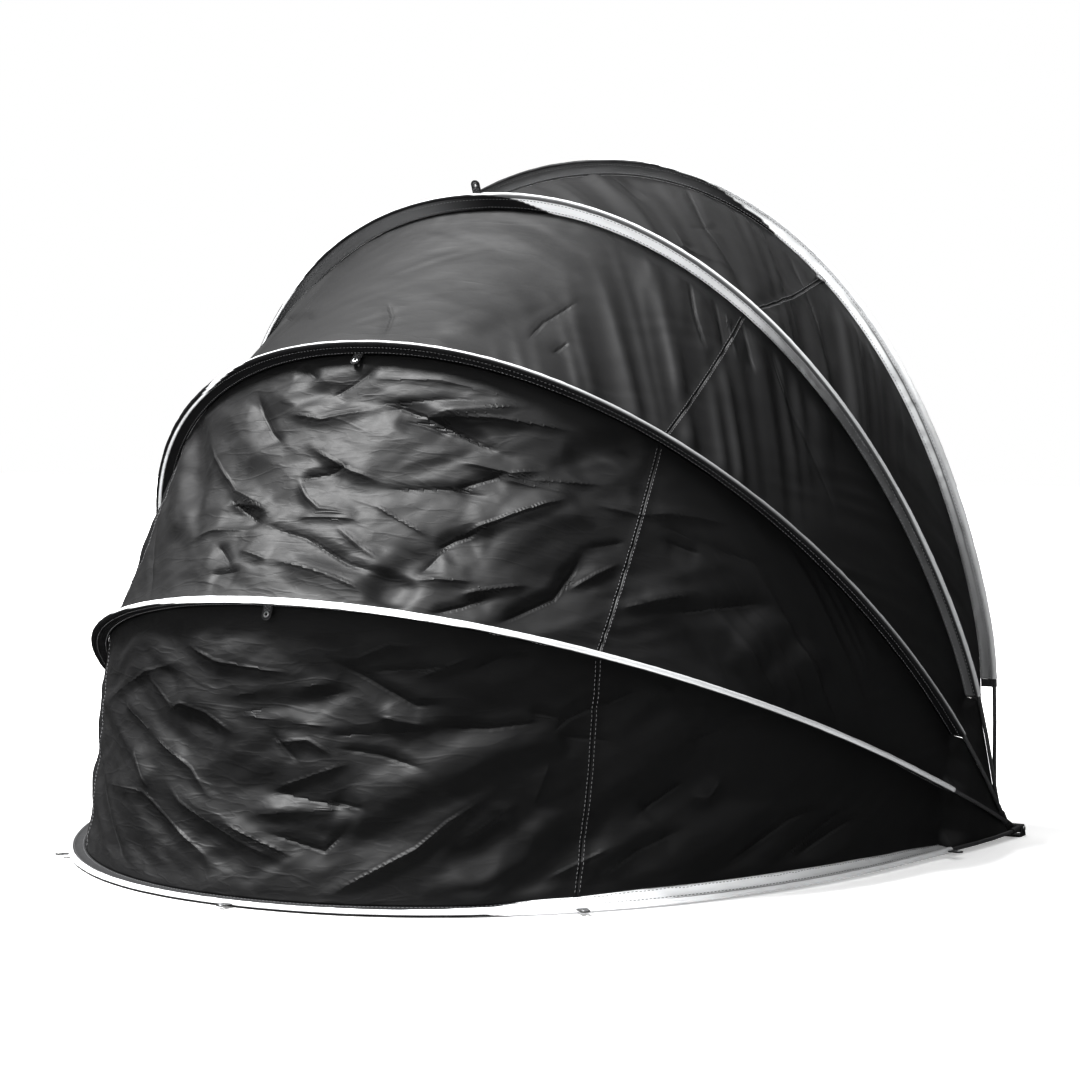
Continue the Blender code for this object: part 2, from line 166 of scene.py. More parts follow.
# How far the fin's edge, and the canopy seam with it, stands up out of the hoop's plane, by degrees.
seamLifts = {
    "base_ring": ((0, 0.0), (11, 0.007), (18, 0.015), (25, 0.021), (34, 0.025), (46, 0.025), (56, 0.016),
                  (66, 0.006), (90, 0.004), (150, 0.006), (168, 0.003), (180, 0.0)),
    "hoop_1": ((0, 0.0), (14, 0.004), (32, 0.013), (50, 0.011), (62, 0.002), (110, -0.001), (180, 0.0)),
    "hoop_2": ((0, 0.0), (20, 0.003), (50, 0.006), (70, 0.002), (180, 0.0)),
    "hoop_3": ((0, 0.0), (30, 0.004), (50, 0.004), (75, 0.0), (180, 0.0)),
    "rear_hoop": ((0, 0.0), (30, -0.002), (150, -0.002), (180, 0.0)),
}


def seamLift(hoop, degrees):
    return tableAt(seamLifts[hoop], degrees)


def finInset(hoop, degrees):
    # the fin keeps its width as it stands up, so its edge comes nearer to the pole
    reach = arch["fin"] + arch["seatGap"] - arch["throat"]
    return arch["throat"] + np.sqrt(reach ** 2 - seamLift(hoop, degrees) ** 2)


def seamPlace(hoop, degrees, lift, span="edge"):
    # at the fin along the sleeve and near the bare pole below it, but at the rear straight on to the corner
    close, loose = arch["rearEdge"] if hoop == "rear_hoop" else arch[span]
    bare = 1 - smooth((np.minimum(degrees, 180 - degrees) - close) / (loose - close))
    edge = finInset(hoop, degrees)
    inset = edge + (arch["bareInset"] - edge) * bare
    return hoopPlace(hoop, degrees, -inset, lift + seamLift(hoop, degrees) * (1 - bare))


# the camera, at the photograph's angle
cameraSpot = {"place": (2.91398, -4.71348, 0.95122), "yaw": 29.37, "pitch": -2.72, "focalPixels": 2496,
              "pictureWidth": 1080, "sensor": 36, "farthest": 200}
tilt = (math.radians(90 + cameraSpot["pitch"]), 0, math.radians(cameraSpot["yaw"]))
bpy.ops.object.camera_add(location=cameraSpot["place"], rotation=tilt)
camera = bpy.context.object
camera.data.sensor_width = cameraSpot["sensor"]
camera.data.lens = cameraSpot["focalPixels"] * cameraSpot["sensor"] / cameraSpot["pictureWidth"]
camera.data.clip_end = cameraSpot["farthest"]
bpy.context.scene.camera = camera
print("camera set")


# the finishes
class Wire:
    # one socket of a node tree; sums and products of wires and numbers add their Math nodes
    def __init__(self, tree, socket=None):
        self.tree, self.socket = tree, socket

    def add(self, kind, settings=None, inputs=None, output=0):
        node = self.tree.nodes.new(kind)
        for name, value in (settings or {}).items():
            if name == "stops":
                stops = node.color_ramp.elements
                for spot, shade in value[2:]:
                    stops.new(spot)
                for stop, (spot, shade) in zip(stops, value):
                    stop.position = spot
                    stop.color = (shade, shade, shade, 1)
            else:
                setattr(node, name, value)
        for name, value in (inputs or {}).items():
            if isinstance(value, Wire):
                self.tree.links.new(value.socket, node.inputs[name])
            else:
                node.inputs[name].default_value = value
        return Wire(self.tree, node.outputs[output])

    def sum(self, operation, a, b):
        return self.add("ShaderNodeMath", {"operation": operation}, {0: a, 1: b})

    def __add__(self, other): return self.sum("ADD", self, other)
    def __radd__(self, other): return self.sum("ADD", other, self)
    def __sub__(self, other): return self.sum("SUBTRACT", self, other)
    def __rsub__(self, other): return self.sum("SUBTRACT", other, self)
    def __mul__(self, other): return self.sum("MULTIPLY", self, other)


def newMaterial(name, sockets):
    material = bpy.data.materials.new(name)
    material.use_nodes = True
    shader = material.node_tree.nodes["Principled BSDF"]
    for socket, value in sockets.items():
        shader.inputs[socket].default_value = value
    return material, Wire(material.node_tree), shader


def plug(wire, shader, socket):
    wire.tree.links.new(wire.socket, shader.inputs[socket])


def mixColours(w, factor, a, b):
    return w.add("ShaderNodeMix", {"data_type": "RGBA"}, {0: factor, 6: a, 7: b}, 2)


def noise(w, vector, scale, detail=2.0, roughness=0.5):
    inputs = {"Vector": vector, "Scale": scale, "Detail": detail, "Roughness": roughness}
    return w.add("ShaderNodeTexNoise", {}, inputs)


def stretched(w, vector, scale, turn=(0, 0, 0)):
    return w.add("ShaderNodeMapping", {}, {"Vector": vector, "Scale": scale, "Rotation": turn})


def bump(w, height, strength, distance, normal=None):
    inputs = {"Height": height, "Strength": strength, "Distance": distance}
    if normal:
        inputs["Normal"] = normal
    return w.add("ShaderNodeBump", {}, inputs)


def ramp(w, factor, *stops):
    return w.add("ShaderNodeValToRGB", {"stops": stops}, {"Fac": factor})


def onPoints(w, name):
    return w.add("ShaderNodeAttribute", {"attribute_name": name}, {}, 2)


def onObject(w):
    return w.add("ShaderNodeTexCoord", {}, {}, 3)


def spike(w, value, sharp):
    # 1 where the value is 0, and less and less to both sides of that
    away = w.add("ShaderNodeMath", {"operation": "ABSOLUTE"}, {0: value})
    return w.add("ShaderNodeMath", {"operation": "MAXIMUM"}, {0: 1 - away * sharp, 1: 0.0})


clothFinish = {
    "dark": (0.006, 0.006, 0.0065, 1), "worn": (0.0095, 0.0095, 0.010, 1), "specular": 0.45,
    "roughness": 0.56, "roughSpread": 0.08, "weavePitch": 0.0011, "weaveDepth": 0.00004,
    "wrinkleDepth": 0.0007, "softDepth": 0.0001, "creaseWidth": 0.008, "creaseDepth": 0.0022,
    # fine wrinkles: how often they come along and across, their turn, and how sharp and how strong they are
    "wrinkles": (((3.6, 13.0, 3.6), 0.42, 26.0, 0.6), ((4.2, 15.0, 4.2), -0.36, 26.0, 0.5),
                 ((11.0, 30.0, 11.0), 0.10, 20.0, 0.25)),
}


def weave(w, uv, pitch):
    # warp and weft threads as two crossed waves; a wave texture of scale 1 has 3.2 waves to a metre
    def threads(way):
        inputs = {"Vector": uv, "Scale": 1 / pitch / 3.2, "Distortion": 0.4, "Detail Scale": 2.0}
        return w.add("ShaderNodeTexWave", {"wave_type": "BANDS", "bands_direction": way}, inputs, 1)
    return threads("X") * 0.5 + threads("Y") * 0.5


def wrinkleLines(w, uv, scale, turn, sharp):
    # long fine wrinkles in one direction, as the ridges of a stretched noise
    return spike(w, noise(w, stretched(w, uv, scale, (0, 0, turn)), 1.0, 2.5, 0.5) - 0.5, sharp)


def makeCloth():
    f = clothFinish
    material, w, shader = newMaterial("coatedCloth", {"Specular IOR Level": f["specular"]})
    uv = w.add("ShaderNodeUVMap", {"uv_map": "cloth"})
    crumpled = onPoints(w, "crumpled")
    broad = noise(w, uv, 3.1, 4, 0.55)
    fine = noise(w, uv, 55.0, 3, 0.6)
    rising, falling, small = (wrinkleLines(w, uv, *kind[:3]) for kind in f["wrinkles"])
    crease = spike(w, onPoints(w, "creaseLine"), 1 / f["creaseWidth"]) * onPoints(w, "creaseSharp")
    wear = ramp(w, broad * 0.6 + fine * 0.4, (0.42, 0.0), (0.66, 1.0))
    colour = mixColours(w, wear * 0.5 + small * crumpled * 0.15, f["dark"], f["worn"])
    plug(colour, shader, "Base Color")
    plug(f["roughness"] + (broad - 0.5) * f["roughSpread"] + (fine - 0.5) * 0.08, shader, "Roughness")
    first = bump(w, weave(w, uv, f["weavePitch"]), 1.0, f["weaveDepth"])
    soft = noise(w, stretched(w, uv, (9.0, 16.0, 9.0), (0, 0, 0.4)), 1.0, 4, 0.55)
    second = bump(w, soft, 0.7, f["softDepth"], first)
    strengths = [kind[3] for kind in f["wrinkles"]]
    lines = (rising * strengths[0] + falling * strengths[1] + small * strengths[2]) * crumpled
    third = bump(w, lines, 1.0, f["wrinkleDepth"], second)
    plug(bump(w, crease, 1.0, f["creaseDepth"], third), shader, "Normal")
    return material


sleeveFinish = {"pale": (0.90, 0.91, 0.92, 1), "dark": (0.011, 0.011, 0.012, 1),
                "soil": (0.66, 0.66, 0.66, 1), "roughness": 0.55, "specular": 0.22,
                "weavePitch": 0.0016, "weaveDepth": 0.00003,
                "puckers": (28.0, 70.0, 28.0), "puckerDepth": 0.0012}


def makeSleeveCloth():
    f = sleeveFinish
    material, w, shader = newMaterial("sleeveTape", {"Specular IOR Level": f["specular"]})
    uv = w.add("ShaderNodeUVMap", {"uv_map": "cloth"})
    soil = noise(w, stretched(w, uv, (5.0, 60.0, 5.0)), 1.0, 4, 0.6)
    soiled = mixColours(w, ramp(w, soil, (0.45, 0.0), (0.75, 0.5)), f["pale"], f["soil"])
    plug(mixColours(w, onPoints(w, "pale"), f["dark"], soiled), shader, "Base Color")
    plug(f["roughness"] + (noise(w, uv, 300.0, 2, 0.6) - 0.5) * 0.15, shader, "Roughness")
    ribs = bump(w, weave(w, uv, f["weavePitch"]), 1.0, f["weaveDepth"])
    puckers = noise(w, stretched(w, uv, f["puckers"]), 1.0, 3, 0.5)
    plug(bump(w, puckers, 0.6, f["puckerDepth"], ribs), shader, "Normal")
    return material


def makeWebbing():
    material, w, shader = newMaterial("webbing", {"Specular IOR Level": 0.3, "Sheen Weight": 0.3})
    place = onObject(w)
    ribs = w.add("ShaderNodeTexWave", {"wave_type": "BANDS", "bands_direction": "DIAGONAL"},
                 {"Vector": place, "Scale": 260.0, "Distortion": 1.0}, 1)
    lint = noise(w, place, 900.0, 3, 0.6)
    black, faded = (0.010, 0.010, 0.011, 1), (0.036, 0.036, 0.038, 1)
    plug(mixColours(w, ribs * 0.5 + lint * 0.4, black, faded), shader, "Base Color")
    plug(0.75 + lint * 0.2, shader, "Roughness")
    plug(bump(w, ribs + lint * 0.5, 0.8, 0.0003), shader, "Normal")
    return material


def makeThread():
    material, w, shader = newMaterial("thread", {"Specular IOR Level": 0.3})
    lint = noise(w, onObject(w), 700.0, 2, 0.5)
    plug(mixColours(w, lint, (0.15, 0.15, 0.155, 1), (0.28, 0.28, 0.285, 1)), shader, "Base Color")
    plug(0.6 + lint * 0.2, shader, "Roughness")
    return material


def makeSteel():
    material, w, shader = newMaterial("platedSteel", {"Metallic": 1.0})
    place = onObject(w)
    streaks = noise(w, stretched(w, place, (60.0, 900.0, 900.0)), 1.0, 3, 0.6)
    spots = noise(w, place, 240.0, 4, 0.6)
    dulled = ramp(w, spots, (0.5, 0.0), (0.72, 1.0))
    plug(mixColours(w, dulled, (0.66, 0.67, 0.68, 1), (0.40, 0.38, 0.35, 1)), shader, "Base Color")
    plug(0.22 + streaks * 0.22 + spots * 0.08, shader, "Roughness")
    plug(bump(w, streaks, 0.3, 0.0001), shader, "Normal")
    return material


def makeNylon():
    material, w, shader = newMaterial("mouldedNylon", {"Specular IOR Level": 0.5})
    place = onObject(w)
    grain = noise(w, place, 1400.0, 3, 0.6)
    scratches = noise(w, stretched(w, place, (40.0, 130.0, 60.0)), 1.0, 5, 0.7)
    scuffs = ramp(w, scratches, (0.55, 0.0), (0.75, 1.0))
    plug(mixColours(w, scuffs, (0.020, 0.020, 0.021, 1), (0.055, 0.055, 0.056, 1)), shader, "Base Color")
    plug(0.42 + grain * 0.12 + scuffs * 0.15, shader, "Roughness")
    plug(bump(w, grain, 0.4, 0.00015), shader, "Normal")
    return material


def makeRod():
    material, w, shader = newMaterial("glassFibreRod", {"Specular IOR Level": 0.5, "Coat Roughness": 0.2})
    fibres = noise(w, stretched(w, onObject(w), (900.0, 30.0, 30.0)), 1.0, 3, 0.6)
    plug(mixColours(w, fibres, (0.022, 0.022, 0.023, 1), (0.060, 0.060, 0.062, 1)), shader, "Base Color")
    plug(0.30 + fibres * 0.16, shader, "Roughness")
    plug(bump(w, fibres, 0.3, 0.0001), shader, "Normal")
    return material


def makeFloorFinish():
    material, w, shader = newMaterial("paleFloor", {"Roughness": 0.9, "Specular IOR Level": 0.1})
    cloudy = noise(w, onObject(w), 0.7, 3, 0.5)
    plug(mixColours(w, cloudy, (0.92, 0.92, 0.92, 1), (0.95, 0.95, 0.95, 1)), shader, "Base Color")
    shader.inputs["Emission Color"].default_value = (1, 1, 1, 1)
    shader.inputs["Emission Strength"].default_value = 0.30
    return material


finishes = {"cloth": makeCloth(), "sleeve": makeSleeveCloth(), "webbing": makeWebbing(),
            "thread": makeThread(), "steel": makeSteel(), "nylon": makeNylon(), "rod": makeRod(),
            "floor": makeFloorFinish()}
slotFinishes = {"canopy": "cloth", "sleeve": "sleeve", "webbing": "webbing", "pole": "rod",
                "moulding": "nylon", "steel": "steel"}
for part in frame["record"]["subparts"]:
    node = frame["nodes"][part["node"]]
    node.data.materials.clear()
    node.data.materials.append(finishes[slotFinishes[part["material_slot"]]])
print("materials made")


# noise on the cloth, all from whole-number hashes, so that each run gives the same
def hashed(i, j, seed):
    n = (i.astype(np.int64) * 374761393 + j.astype(np.int64) * 668265263 + seed * 974634777) & 0xFFFFFFFF
    n = ((n ^ (n >> 13)) * 1274126177) & 0xFFFFFFFF
    n = ((n ^ (n >> 16)) * 668265263) & 0xFFFFFFFF
    return ((n ^ (n >> 15)) & 0xFFFFFF) / 0xFFFFFF * 2 - 1


def softNoise(x, y, seed):
    i, j = np.floor(x), np.floor(y)
    u, v = smooth(x - i), smooth(y - j)
    a, b = hashed(i, j, seed), hashed(i + 1, j, seed)
    c, d = hashed(i, j + 1, seed), hashed(i + 1, j + 1, seed)
    return (a * (1 - u) + b * u) * (1 - v) + (c * (1 - u) + d * u) * v


def facetNoise(x, y, seed):
    # flat three-cornered facets with sharp creases between them, on a lattice bent by soft noise
    bend = 0.55
    x, y = (x + bend * softNoise(x * 0.6 + 3, y * 0.6, seed + 11),
            y + bend * softNoise(x * 0.6, y * 0.6 + 7, seed + 23))
    # this skew turns the squares' halves into triangles with equal sides
    skew = (x + y) * 0.3660254
    sx, sy = x + skew, y + skew
    i, j = np.floor(sx), np.floor(sy)
    u, v = sx - i, sy - j
    lower = u > v
    middle = np.where(lower, hashed(i + 1, j, seed), hashed(i, j + 1, seed))
    big, small = np.maximum(u, v), np.minimum(u, v)
    return hashed(i, j, seed) * (1 - big) + middle * (big - small) + hashed(i + 1, j + 1, seed) * small


def ridges(x, y, seed):
    return 1 - 2 * np.abs(softNoise(x, y, seed))


# the canopy panels, each of three gores
canopy = {
    "cells": {"canopy_front": (0.0068, 0.0053, 0.0085), "canopy_lower": (0.0068, 0.0053, 0.0085),
              "canopy_upper": (0.0068, 0.0060, 0.0085), "canopy_top": (0.0068, 0.0068, 0.0085)},
    "thickness": 0.0006, "rimGap": 0.0005, "largeHeight": 0.0082, "middleHeight": 0.0046,
    "smallHeight": 0.0006, "ridgeHeight": 0.0036, "puckerHeight": 0.0014, "pleatHeight": 0.0105,
    "seamHeight": 0.0011, "foldShare": 0.80, "crest": 0.16, "roundFold": 50,
    "steepSide": 0.62, "gentleSide": 1.45, "edgePull": 0.30,
    # how far from a hoop the crumples and folds have their full height, and how far beside a seam it is calmer
    "crumpleStart": 0.060, "foldStart": 0.030, "puckerStart": 0.012, "puckerReach": 0.035,
    "seamCalm": 0.55, "calmReach": 0.03, "seamHalf": 0.007, "seamSlope": 0.002, "seamPuckerReach": 0.022,
    # the facets of each size: the way they turn, their length and width, and the seed's step
    "facets": {"large": (8, 0.21, 0.085, 1), "falling": (-24, 0.130, 0.040, 2),
               "rising": (20, 0.130, 0.038, 9), "smallFalling": (-30, 0.050, 0.022, 3),
               "smallRising": (26, 0.050, 0.022, 4)},
    # where pleats hang: from and to which degrees, how far they lean, and on which side
    "pleats": {"canopy_upper": ((36, 78, 0.62, 1), (36, 74, 0.62, -1)),
               "canopy_top": ((30, 104, 0.80, 1), (30, 86, 0.80, -1)),
               "canopy_lower": ((22, 52, 1.2, 1), (22, 60, 1.2, -1))},
    # how strong the crumpling is, by degrees along the hoops
    "crumple": {
        "canopy_front": ((0, 0.10), (40, 0.16), (62, 0.34), (85, 0.75), (100, 1.0), (130, 1.0), (150, 0.5),
                         (180, 0.15)),
        "canopy_lower": ((0, 0.08), (40, 0.12), (60, 0.34), (80, 0.70), (100, 0.95), (112, 0.55), (150, 0.3),
                         (180, 0.12)),
        "canopy_upper": ((0, 0.06), (40, 0.10), (60, 0.22), (90, 0.22), (120, 0.18), (150, 0.15), (180, 0.10)),
        "canopy_top": ((0, 0.05), (40, 0.10), (60, 0.16), (90, 0.14), (120, 0.18), (150, 0.15), (180, 0.10)),
    },
}
# where each gore starts and ends, in degrees
gores = {"right": (arch["corner"], seamDegrees), "middle": (seamDegrees, 180 - seamDegrees),
         "left": (180 - seamDegrees, 180 - arch["corner"])}


def panelPlace(name, degrees, share):
    k = panelNames.index(name)
    start = seamPlace(hoopNames[k], degrees, canopy["rimGap"])
    end = seamPlace(hoopNames[k + 1], degrees, -canopy["rimGap"])
    middle = (start + end) / 2 - hinge
    inward = -np.stack([np.zeros_like(middle[..., 0]), middle[..., 1], middle[..., 2]], -1)
    inward /= np.linalg.norm(inward, axis=-1, keepdims=True)
    depth = arch["sag"] * np.sin(np.radians(degrees)) * 4 * share * (1 - share)
    # the very edge is drawn to the pole right at the sleeve's mouth
    tight = [seamPlace(hoopNames[k + i], degrees, (1 - 2 * i) * canopy["rimGap"], "mouth") for i in (0, 1)]
    near = [1 - smooth(away / canopy["edgePull"])[..., None] for away in (share, 1 - share)]
    pull = (tight[0] - start) * near[0] + (tight[1] - end) * near[1]
    share = share[..., None]
    return start * (1 - share) + end * share + inward * depth[..., None] + pull


# The folds seen in the cloth. Each has its width and height in millimetres, below 0 for a valley, and then
# the places that it runs through, in degrees along the hoops and share of the way up the panel.
folds = {
    "canopy_front": (
        (60, -14, (109.0, 0.33), (99.4, 0.22), (93.7, 0.15), (89.2, 0.07)),
        (38, 14, (102, 0.87), (95.7, 0.8), (86.7, 0.77)), (26, 9, (94.2, 0.68), (82, 0.75)),
        (26, -9, (92.7, 0.62), (80.2, 0.73)), (26, 9, (92.4, 0.62), (81.4, 0.6)),
        (38, 14, (104, 0.62), (101.2, 0.65), (97, 0.62), (92.4, 0.55)),
        (60, -15, (102.2, 0.57), (98, 0.55), (94.2, 0.5)),
        (26, 9, (120.7, 0.68), (109.4, 0.77), (102.2, 0.8)), (26, 9, (108.7, 0.75), (102.4, 0.63)),
        (26, 9, (115.2, 0.67), (105.2, 0.52)), (26, 9, (107.2, 0.55), (98.7, 0.42), (95.7, 0.33)),
        (26, 9, (110.2, 0.48), (105.2, 0.33)),
        (26, 9, (102.7, 0.37), (99.7, 0.3), (90.2, 0.18), (85.4, 0.13)),
        (26, 9, (93.4, 0.25), (84.4, 0.15)),
        (38, 14, (117.4, 0.33), (106.7, 0.32), (101, 0.22), (95.4, 0.13), (94.2, 0.08)),
        (26, -9, (130.4, 0.53), (121.4, 0.37), (115.7, 0.23), (111, 0.08), (107.2, 0.03)),
        (26, 9, (90, 0.28), (79, 0.33)), (26, -9, (88.4, 0.23), (81.2, 0.18), (78.7, 0.27)),
        (26, 9, (88.2, 0.37), (79.4, 0.48)), (26, -9, (88.2, 0.37), (79, 0.33)),
        (16, -5, (88.7, 0.57), (85, 0.47)), (26, 9, (88.4, 0.53), (84.2, 0.55), (81, 0.5)),
        (26, -9, (82.7, 0.83), (78.4, 0.78), (72.7, 0.7), (69.7, 0.72)),
        (26, 9, (80.2, 0.83), (76, 0.9), (73.4, 0.9)), (16, -5, (78.4, 0.8), (69.7, 0.85)),
        (26, 9, (72.7, 0.8), (67.2, 0.9)), (26, -9, (67.2, 0.85), (64, 0.92), (60.2, 0.97)),
        (26, 9, (77, 0.65), (71, 0.63)), (26, -9, (82, 0.57), (71, 0.62)),
        (26, -9, (71, 0.63), (65, 0.65), (59.2, 0.7)),
        (60, 15, (80.7, 0.2), (77.2, 0.33), (71.7, 0.45), (69.4, 0.48), (61.7, 0.62), (59, 0.65), (55, 0.83)),
        (38, -14, (58.7, 0.65), (57, 0.72), (52.7, 0.82)), (26, -9, (81.4, 0.53), (76.2, 0.52), (71, 0.48)),
        (26, -9, (81.2, 0.35), (77, 0.33)), (38, 14, (80, 0.03), (71.2, 0.2), (68.2, 0.3), (64.4, 0.4)),
        (26, 9, (67.4, 0.22), (64.7, 0.28), (61.7, 0.37)),
        (60, 15, (69, 0.05), (63.4, 0.13), (58, 0.25), (54.7, 0.32)), (60, -15, (67.4, 0.12), (60, 0.3)),
        (60, -15, (62.2, 0.05), (55.7, 0.23), (52, 0.38)), (26, 9, (57.4, 0.08), (51.4, 0.2)),
        (26, -9, (61, 0.73), (57.7, 0.72)), (26, -9, (58, 0.65), (52.4, 0.65)),
        (16, 5, (58.4, 0.55), (59.7, 0.37)), (60, 15, (54, 0.43), (49.7, 0.6), (46.2, 0.72), (43, 0.83)),
        (26, -9, (54.7, 0.77), (49.4, 0.9)), (16, 5, (49, 0.85), (46.4, 0.93)),
        (16, -5, (45.4, 0.67), (40, 0.82), (36.2, 0.92)), (38, -14, (49.4, 0.33), (44, 0.52)),
        (26, 9, (43.7, 0.43), (42, 0.43), (40.7, 0.53)), (60, 15, (53.2, 0.1), (47.7, 0.27), (46, 0.32)),
        (26, -9, (53, 0.05), (48.7, 0.18), (44.2, 0.28)),
        (60, 15, (49.2, 0.03), (41.4, 0.23), (35.2, 0.37)),
        (26, -9, (39.7, 0.07), (32.7, 0.33), (28.7, 0.43)), (26, -9, (33.7, 0.07), (25.7, 0.43)),
        (26, -9, (31.4, 0.08), (24, 0.38)),
    ),
    "canopy_lower": (
        (60, 15, (125, 0.98), (116, 0.57), (107, 0.3)), (60, -15, (120, 0.98), (108, 0.42)),
        (16, -5, (128, 0.75), (118.2, 0.33), (112, 0.07)), (38, -14, (102.4, 0.45), (95, 0.32)),
        (26, 9, (102, 0.43), (97, 0.4), (95, 0.37)),
        (26, -9, (95, 0.32), (89.2, 0.27), (83, 0.18), (78.4, 0.15)),
        (26, 9, (107, 0.3), (103, 0.32), (96.4, 0.3)), (26, -9, (101, 0.25), (97, 0.15)),
        (26, -9, (100.4, 0.13), (95.2, 0.13)), (26, 9, (97, 0.22), (92.2, 0.17)),
        (26, 9, (91.4, 0.17), (84.4, 0.12), (79.4, 0.07)), (16, 5, (86.2, 0.32), (82.7, 0.25), (79.4, 0.2)),
        (26, 9, (92.4, 0.5), (90.7, 0.43), (88.7, 0.38), (85, 0.37)), (26, 9, (91.2, 0.35), (83.7, 0.35)),
        (26, 9, (92, 0.62), (86.4, 0.53), (82.4, 0.5)), (26, -9, (92.4, 0.5), (87, 0.55)),
        (26, 9, (97, 0.77), (91.7, 0.73), (86.4, 0.78)), (26, -9, (92.2, 0.83), (89.7, 0.88), (87.7, 0.95)),
        (26, -9, (98, 0.98), (94.2, 0.9)), (26, -9, (104.2, 0.9), (102, 0.8), (98.7, 0.7), (95.7, 0.63)),
        (26, 9, (112.4, 0.78), (106.4, 0.6), (101.7, 0.48), (96.2, 0.4)),
        (60, -15, (78.2, 0.03), (77, 0.18)), (16, 5, (88, 0.9), (79.4, 0.92), (69, 0.92)),
        (16, -5, (87, 0.8), (78.7, 0.85), (73, 0.88)), (26, 9, (80.7, 0.77), (69.4, 0.9)),
        (26, 9, (80.4, 0.77), (72.4, 0.82), (63.4, 0.88)),
        (38, -14, (85.4, 0.78), (83.2, 0.8), (79.2, 0.77), (70.2, 0.7)),
        (26, -9, (83.2, 0.75), (80.7, 0.75), (76.4, 0.73)), (26, 9, (75, 0.63), (68.7, 0.63), (65.4, 0.68)),
        (26, -9, (74.4, 0.52), (69, 0.63)), (26, -9, (82.4, 0.48), (74.7, 0.52), (70, 0.52)),
        (16, 5, (83.2, 0.42), (75, 0.32)), (38, -14, (74.2, 0.28), (72.4, 0.33), (70, 0.38)),
        (38, 14, (72.2, 0.35), (68.7, 0.43), (62.2, 0.6)), (16, 5, (69.7, 0.6), (62, 0.62)),
        (16, 5, (67.2, 0.62), (58.7, 0.72)), (60, 15, (67.7, 0.27), (65, 0.47), (61.4, 0.6), (55.4, 0.95)),
        (60, -15, (63.7, 0.72), (56.2, 0.97)), (60, -15, (62, 0.57), (57, 0.8)),
        (60, -15, (78.4, 0.03), (75.2, 0.22), (74.4, 0.28)), (16, -5, (75, 0.18), (73.2, 0.28)),
        (26, 9, (75.2, 0.15), (68.7, 0.18)), (26, 9, (70, 0.12), (63.2, 0.22)),
        (26, -9, (72.7, 0.02), (69.2, 0.08), (66.4, 0.15)),
        (38, -14, (65.4, 0.03), (60.4, 0.2), (59.4, 0.32), (59, 0.42)), (26, 9, (59.2, 0.25), (55, 0.42)),
        (16, -5, (59, 0.43), (55, 0.52)), (16, 5, (59.4, 0.62), (54.7, 0.65), (50.2, 0.75)),
        (26, 9, (53.7, 0.22), (48, 0.37)), (16, 5, (54, 0.67), (48.7, 0.77), (45, 0.83)),
        (26, -9, (51.2, 0.6), (47, 0.62)), (16, -5, (52.7, 0.65), (40.7, 0.73)),
        (26, 9, (51.7, 0.27), (47, 0.4)), (26, -9, (48.7, 0.28), (39, 0.57)),
        (60, 15, (40.7, 0.17), (38.4, 0.37), (36.4, 0.5)), (60, 15, (36.4, 0.12), (31.2, 0.47)),
    ),
    "canopy_upper": (
        (16, -3, (92.7, 0.38), (90.4, 0.27), (89.2, 0.13)), (26, -4, (118, 0.72), (104.2, 0.38)),
        (26, -4, (73.2, 0.23), (73, 0.37), (71, 0.55)), (26, -3, (69.7, 0.2), (69, 0.3)),
        (60, 7, (82.4, 0.13), (79.4, 0.37), (74.7, 0.5)),
        (26, -5, (61.9, 0.95), (59.0, 0.78), (55.6, 0.63)), (26, -6, (58.4, 0.95), (54.2, 0.72)),
        (26, 6, (56.4, 0.93), (52.4, 0.72)), (26, -7, (54.7, 0.97), (50, 0.73)),
        (26, -7, (50.4, 0.98), (45.4, 0.78), (35.2, 0.45)),
    ),
    "canopy_top": (
        (26, -9, (87.4, 0.98), (76.4, 0.57)), (26, 9, (81.2, 0.82), (66, 0.22), (60.4, 0.3)),
        (26, -9, (76.2, 0.95), (67.4, 0.55), (58.7, 0.28)),
        (26, 9, (67.2, 0.92), (53.7, 0.52), (48.2, 0.27)), (26, -9, (60.7, 0.97), (51.4, 0.67), (44, 0.33)),
    ),
}


